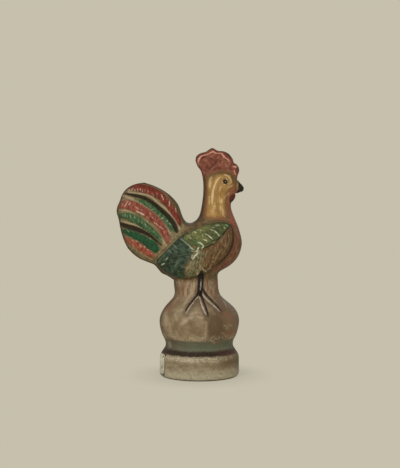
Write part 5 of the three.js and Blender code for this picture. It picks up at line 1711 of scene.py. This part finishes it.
def head_coat(bench, coat):
    """Comb with its painted highlights and folds, eye with its painted highlights, brow, beak
    and wattle.
    """
    comb = bench.touches(
        bench.mottle(COMB_DARK, COMB_ROSE, 0.35, 0.32, 0.6, shift=71),
        ("comb_deep", paint(98, 50, 36), 1.0, 0.9), ("comb_soft_highlight", paint(182, 126, 102), 0.9, 0.8))
    # The glint is a painted highlight along the bevel.
    glint = bench.step(bench.mark("comb_highlight") + (bench.fine - 0.5) * 0.9, -0.1, 0.45)
    fold = bench.stroke("comb_fold", 0.5)
    comb = bench.layers(comb, (paint(78, 48, 32), fold * 0.6), (COMB_HIGHLIGHT, glint * 0.9))
    from_pupil = PUPIL - bench.mark("eye")
    # The pale root, kept to the beak's upper part, is partly a pale line at the root and partly a
    # painted highlight.
    root = (1 - bench.step(bench.x + bench.wander, 27.5, 28.4)) * bench.step(bench.z, 133, 135)
    beak = bench.layers(
        BEAK_BLACK, (BEAK_HORN, bench.flecks(0.5, 3, 74, 0.5, 0.7) * 0.5),
        (paint(168, 140, 112), root * 0.85))
    # Each drop is painted darker at its lower end: painted shade.
    drop = bench.lay(WATTLE_RED, paint(40, 24, 20), 1 - bench.step(bench.z, 125.6, 128.4))
    aside = bench.depth - 4
    lobe = bench.mark("wattle") - aside * aside * 0.1 + bench.wander * 0.9
    # The brow's pale arc, the eye's light crescents and the pale spot in the pupil are painted
    # highlights.
    return bench.layers(
        coat, (comb, bench.area("comb", 1.1, 1.5)), (OCHRE_PALE, bench.stroke("brow", 0.4) * 0.6),
        (paint(70, 54, 36), bench.between(from_pupil, 1.9, 2.5, 0.4) * 0.55),
        (paint(212, 190, 156), bench.stroke("eye_highlight", 0.3, 0.3) * 0.9),
        (paint(34, 28, 22), 1 - bench.step(from_pupil, 1.3, 1.95)),
        (paint(150, 146, 134), 1 - bench.step(from_pupil, 0.15, 0.5)),
        (beak, bench.area("beak", 0.4, 0.8)), (drop, bench.step(lobe, -0.6, 0.6)))


def leg_coat(bench, coat):
    """Black shank and toes over the pale lines beside them, with a painted highlight down the
    shank.
    """
    return bench.layers(
        coat, (paint(86, 69, 52), bench.step(bench.mark("toe_light"), -3.2, -0.4) * 0.6),
        (paint(206, 190, 168), bench.stroke("toe_light", 0.3, 1.1, -0.12) * 0.68),
        (PITCH, bench.stroke("shank", 0.35, 0.5, 0.3) * 0.97),
        (PITCH, bench.stroke("toe", 0.35, 0.5, 0.04) * 0.93),
        (SHINE, bench.stroke("shank_highlight", 0.3, 1, -0.1) * 0.75))


print("head and leg colours ready")

# %% [markdown]
# Painted shade, dirt and varnish finish the bird. A brown line and a softer band of painted shade
# run along the outline, and the foot's sides beside the joint and the sunk carving are painted
# darker as shade. A dark line runs along the foot's bottom edge, dirt sits in the pits and in the
# crack round the patch, and the surface is pitted plaster with brush marks under a half-gloss coat.

# %% Painted plaster
ELSEWHERE = 99


def from_slot(bench):
    """Millimetres outside the slot of the filler patch: the greater of |y| - half width and
    |z - middle| - half height, and large on the foot's front."""
    tall = bench.wire.reckon("ABSOLUTE", bench.z - SLOT_MIDDLE) - SLOT_HALF_TALL
    edge = bench.wire.reckon("MAXIMUM", bench.depth - SLOT_HALF_WIDE, tall)
    return edge + bench.step(bench.x, -6, -4) * ELSEWHERE


# This dark brown serves real dirt, in the pits, the patch's crack and the knocks, and painted shade
# in the sunk carving.
GRIME_AND_SHADE = paint(46, 36, 24)
# The edge colours are painted shade along the outline and beside the joint.
EDGE_SHADE_BROWN, EDGE_SHADE_ROSE = paint(54, 36, 22), paint(92, 50, 38)
VARNISH_IOR = 1.2


def fresh_bench(name):
    """A new material with an empty net, and the bench to fill it from."""
    material = bpy.data.materials.new(name)
    material.use_nodes = True
    material.node_tree.nodes.clear()
    return material, Bench(material.node_tree)


def finish_off(bench, coat, gloss, height, bump, **more):
    """Closes a net: colour, roughness and a bump of the given strength and distance."""
    strength, distance = bump
    bump = bench.wire.node("ShaderNodeBump", None,
                           {"Strength": strength, "Distance": distance, "Height": height})
    surface = bench.wire.node("ShaderNodeBsdfPrincipled", None, {
        "Base Color": coat, "Roughness": gloss, "Normal": bump, **more})
    bench.wire.node("ShaderNodeOutputMaterial", None, {"Surface": surface})


def painted_plaster(name, edge_shade_strength):
    """The whole finish: coats, painted shade along the outline, beside the joint and in the
    sunk carving, dirt in the pits and round the patch, roughness and bump.
    """
    material, bench = fresh_bench(name)
    bird = tail_coat(bench, body_coat(bench))
    bird = head_coat(bench, wing_coat(bench, bird))
    high = bench.step(bench.z + bench.wander * 3, SEAT - 1.5, SEAT + 2.5)
    coat = leg_coat(bench, bench.lay(foot_coat(bench), bird, high))
    face = bench.step(bench.mark("beak"), -1.4, 0) + bench.step(bench.mark("wattle"), -1.2, 0)
    rim = bench.mark("outline") + bench.wander * 1.2 + face * 9
    # A brown line and a softer band inside the outline: painted shade.
    line = (1 - bench.step(rim, 0.1, 1.3)) * high
    shade = (1 - bench.step(rim, 0.6, 4.2)) * high
    brown = bench.lay(EDGE_SHADE_BROWN, EDGE_SHADE_ROSE, bench.step(bench.mark("comb"), -1.5, 1.5))
    # The band beside the joint on the foot, where its sides turn away, is painted shade.
    beside = bench.depth - bench.x * 0.14 + bench.wander * 2
    foot_edge_shade = (1 - bench.step(beside, 3.4, 9)) * (1 - high)
    unsteady = bench.fine - 0.5
    crack = 1 - bench.step(from_slot(bench) + unsteady * 0.8, 0.35, 0.9)
    foot_line = 1 - bench.step(bench.z + unsteady, 0.5, 1.3)
    # The sunk carving is darkened as painted shade.
    sunk_shade = 1 - bench.step(bench.mark("carved") + unsteady * 0.3, -0.5, -0.05)
    pits = bench.flecks(1.7, 5, 81, 0.32, 0.5, rough=0.7)
    chips = bench.flecks(1.8, 5, 103, 0.56, 0.72, rough=0.7)
    coat = bench.layers(
        coat, (brown, shade * 0.24), (brown, line * 0.74),
        (EDGE_SHADE_BROWN, foot_edge_shade * (0.4 + bench.fine * 0.35) * edge_shade_strength),
        (GRIME_AND_SHADE, crack * 0.8), (GRIME_AND_SHADE, foot_line * 0.8), (GRIME_AND_SHADE, sunk_shade * 0.4))
    coat = bench.lay(GRIME_AND_SHADE, coat, 0.76 + pits * 0.24)
    coat = bench.lay(coat, paint(206, 186, 154), chips * (0.34 - high * 0.14))
    gloss = 0.5 + bench.grain(0.6, 4, shift=84) * 0.22 - pits * 0.06
    height = bench.grain(0.35, 3, shift=87) * 0.5 + bench.fine * 0.25 + pits * 0.2
    finish_off(bench, coat, gloss, height, (0.35, 0.4 * MM), IOR=VARNISH_IOR)
    return material


castings = painted_plaster("painted_plaster", 1.0)
slip_finish = painted_plaster("painted_slip", 1.3)
print("nodes in the paint:", len(castings.node_tree.nodes))

# %% [markdown]
# The plug and the patch are unpainted plaster. The plug is dusty and scuffed from standing. The
# patch is a paler filler with a dark line of dirt round it and a few knocks.

# %% Bare plaster


def bare_plaster(name, pale, shadow, scuff, knocks=()):
    """Chalky plaster with clouds, pits and specks of dirt, and a dark spot at each knock."""
    material, bench = fresh_bench(name)
    specks = bench.flecks(1.4, 4, 94, 0.62, 0.72)
    pits = bench.flecks(2.4, 4, 97, 0.3, 0.45)
    coat = bench.layers(
        shadow, (pale, bench.flecks(0.25, 5, 91, 0.34, 0.6)), (paint(92, 82, 64), specks * scuff))
    coat = bench.lay(paint(70, 62, 48), coat, 0.7 + pits * 0.3)
    for spot in knocks:
        gap = bench.wire.node("ShaderNodeVectorMath", {"operation": "DISTANCE"},
                              {0: bench.place, 1: spot}, output="Value")
        coat = bench.lay(GRIME_AND_SHADE, coat, bench.step(gap + bench.fine * 0.5, 1.0, 1.7))
    gloss = 0.78 + bench.grain(0.8, 3, shift=99) * 0.15
    height = bench.grain(0.5, 4, shift=87) + pits * 0.5
    finish_off(bench, coat, gloss, height, (0.5, 0.5 * MM))
    return material


KNOCKS = ((-28.2, -5.8, 15.2), (-28.5, -4.2, 7.4))
plug_finish = bare_plaster("bare_plug", paint(196, 188, 166), paint(168, 156, 130), 0.6)
patch_finish = bare_plaster("filler", paint(206, 201, 180), paint(180, 173, 150), 0.3, KNOCKS)
print("bare plaster ready")

# %% [markdown]
# The solids become meshes. Each piece stands for a node of the plain model and rides on its body.
# The measured marks go into the painted ones as attributes.

# %% Finished pieces
SHARP = math.radians(48)


def finished(name, solid, material, node):
    """A piece at the origin, smooth except where it was cut."""
    mesh = new_mesh(name, solid.points * MM, solid.faces)
    mesh.polygons.foreach_set("use_smooth", np.ones(len(solid.faces), bool))
    mesh.set_sharp_from_angle(angle=SHARP)
    mesh.materials.append(material)
    piece = bpy.data.objects.new(name, mesh)
    scene.collection.objects.link(piece)
    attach(piece, "root")
    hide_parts(node)
    return piece


def carry_marks(piece, marks):
    """Writes each measure into the mesh for the paint to read."""
    for name, column in marks.items():
        attribute = piece.data.attributes.new(name, "FLOAT", "POINT")
        attribute.data.foreach_set("value", column.astype(np.float32))


right, left = (
    finished(f"painted_{side}_half", solid, castings, f"{side}_half")
    for side, solid in (("right", right_casting), ("left", left_casting)))
seam = finished("luting_slip", slip, slip_finish, "seam_slip")
finished("poured_plug", plug, plug_finish, "base_plug")
finished("filler_patch", patch, patch_finish, "back_patch")

casting_marks = decoration(left_casting.points[:, [0, 2]])
casting_marks["carved"] = carving(casting_marks)
slip_marks = decoration(slip.points[:, [0, 2]])
slip_marks["carved"] = np.zeros(len(slip.points))
for piece, marks in ((left, casting_marks), (right, casting_marks), (seam, slip_marks)):
    carry_marks(piece, marks)
print("marks on each casting:", len(casting_marks))

# %% [markdown]
# The stage: a pale floor that keeps a soft shadow near the foot and runs out into the colour of the
# backdrop. The floor's material mixes plain matt paint with light of the backdrop's colour by the
# distance from the foot, so that no horizon shows.

# %% Floor and backdrop
BACKDROP = paint(198, 192, 173)
FLOOR_RADIUS = 1.6
FLOOR_DROP = 0.00005
# The floor's own light is this share of it near the foot, and all of it beyond the shadow.
GLOW_SHARE = 0.66
SHADOW_START, SHADOW_END = 28, 60


def ring_disc(name, radius, height):
    """A flat disc as a fan from its middle."""
    k = np.arange(96)
    turn = 2 * math.pi * k / len(k)
    rim = np.column_stack([radius * np.cos(turn), radius * np.sin(turn), np.full(len(k), height)])
    fan_faces = np.stack([np.full_like(k, len(k)), k, (k + 1) % len(k)], 1)
    return new_mesh(name, np.vstack([rim, [[0, 0, height]]]), fan_faces)


floor_finish, stage = fresh_bench("pale_floor")
reach = stage.wire.node(
    "ShaderNodeVectorMath", {"operation": "LENGTH"}, {0: stage.place}, output="Value")
matt = stage.wire.node("ShaderNodeBsdfDiffuse", None, {"Color": paint(190, 184, 166)})
glow = stage.wire.node("ShaderNodeEmission", None, {"Color": BACKDROP})
clear = stage.step(reach, SHADOW_START, SHADOW_END)
blend = stage.wire.node("ShaderNodeMixShader", None,
                        {0: GLOW_SHARE + clear * (1 - GLOW_SHARE), 1: matt, 2: glow})
stage.wire.node("ShaderNodeOutputMaterial", None, {"Surface": blend})
floor = bpy.data.objects.new("floor", ring_disc("floor", FLOOR_RADIUS, -FLOOR_DROP))
floor.data.materials.append(floor_finish)
scene.collection.objects.link(floor)
print("floor radius", FLOOR_RADIUS, "m")

# %% [markdown]
# The light: an even grey-white sky for all rays but those that the lens or a gloss sends out, which
# see the backdrop, and three broad lamps: a key high on the left, a soft one in front and a weak
# one behind. Together they light a surface that faces the lens at about 1, so a colour renders
# about as it is written.

# %% Sky and lamps
SKY_SHARE = 0.5
KEY_SHARE, FRONT_SHARE, BACK_SHARE = 0.42, 0.24, 0.2


def lamp(name, place, share, size):
    """A square lamp aimed at the bird. A surface facing it gets share of a white sheet's light:
    its power is share times pi squared times the distance squared."""
    light = bpy.data.lights.new(name, "AREA")
    light.size = size
    place, target = Vector(place), Vector((0, 0, 0.08))
    light.energy = share * math.pi**2 * (place - target).length ** 2
    made = bpy.data.objects.new(name, light)
    made.location = place
    made.rotation_euler = (target - place).to_track_quat("-Z", "Y").to_euler()
    scene.collection.objects.link(made)
    print(name, round(light.energy, 2), "W")


world = bpy.data.worlds.new("studio")
world.use_nodes = True
world.node_tree.nodes.clear()
sky = Wire(world.node_tree)
seen = [sky.node("ShaderNodeLightPath", output=name)
        for name in ("Is Camera Ray", "Is Glossy Ray", "Is Transmission Ray")]
shown = seen[0] + seen[1] + seen[2]
even = sky.node("ShaderNodeBackground", None,
                {"Color": (1.0, 0.99, 0.97, 1.0), "Strength": SKY_SHARE})
back = sky.node("ShaderNodeBackground", None, {"Color": BACKDROP})
sky.node("ShaderNodeOutputWorld", None,
         {"Surface": sky.node("ShaderNodeMixShader", None, {0: shown, 1: even, 2: back})})
scene.world = world
lamp("key", (-0.62, -0.72, 0.74), KEY_SHARE, 0.5)
lamp("front", (-0.05, -1.1, 0.2), FRONT_SHARE, 0.8)
lamp("back", (0.5, 1.0, 0.6), BACK_SHARE, 0.8)

# %% [markdown]
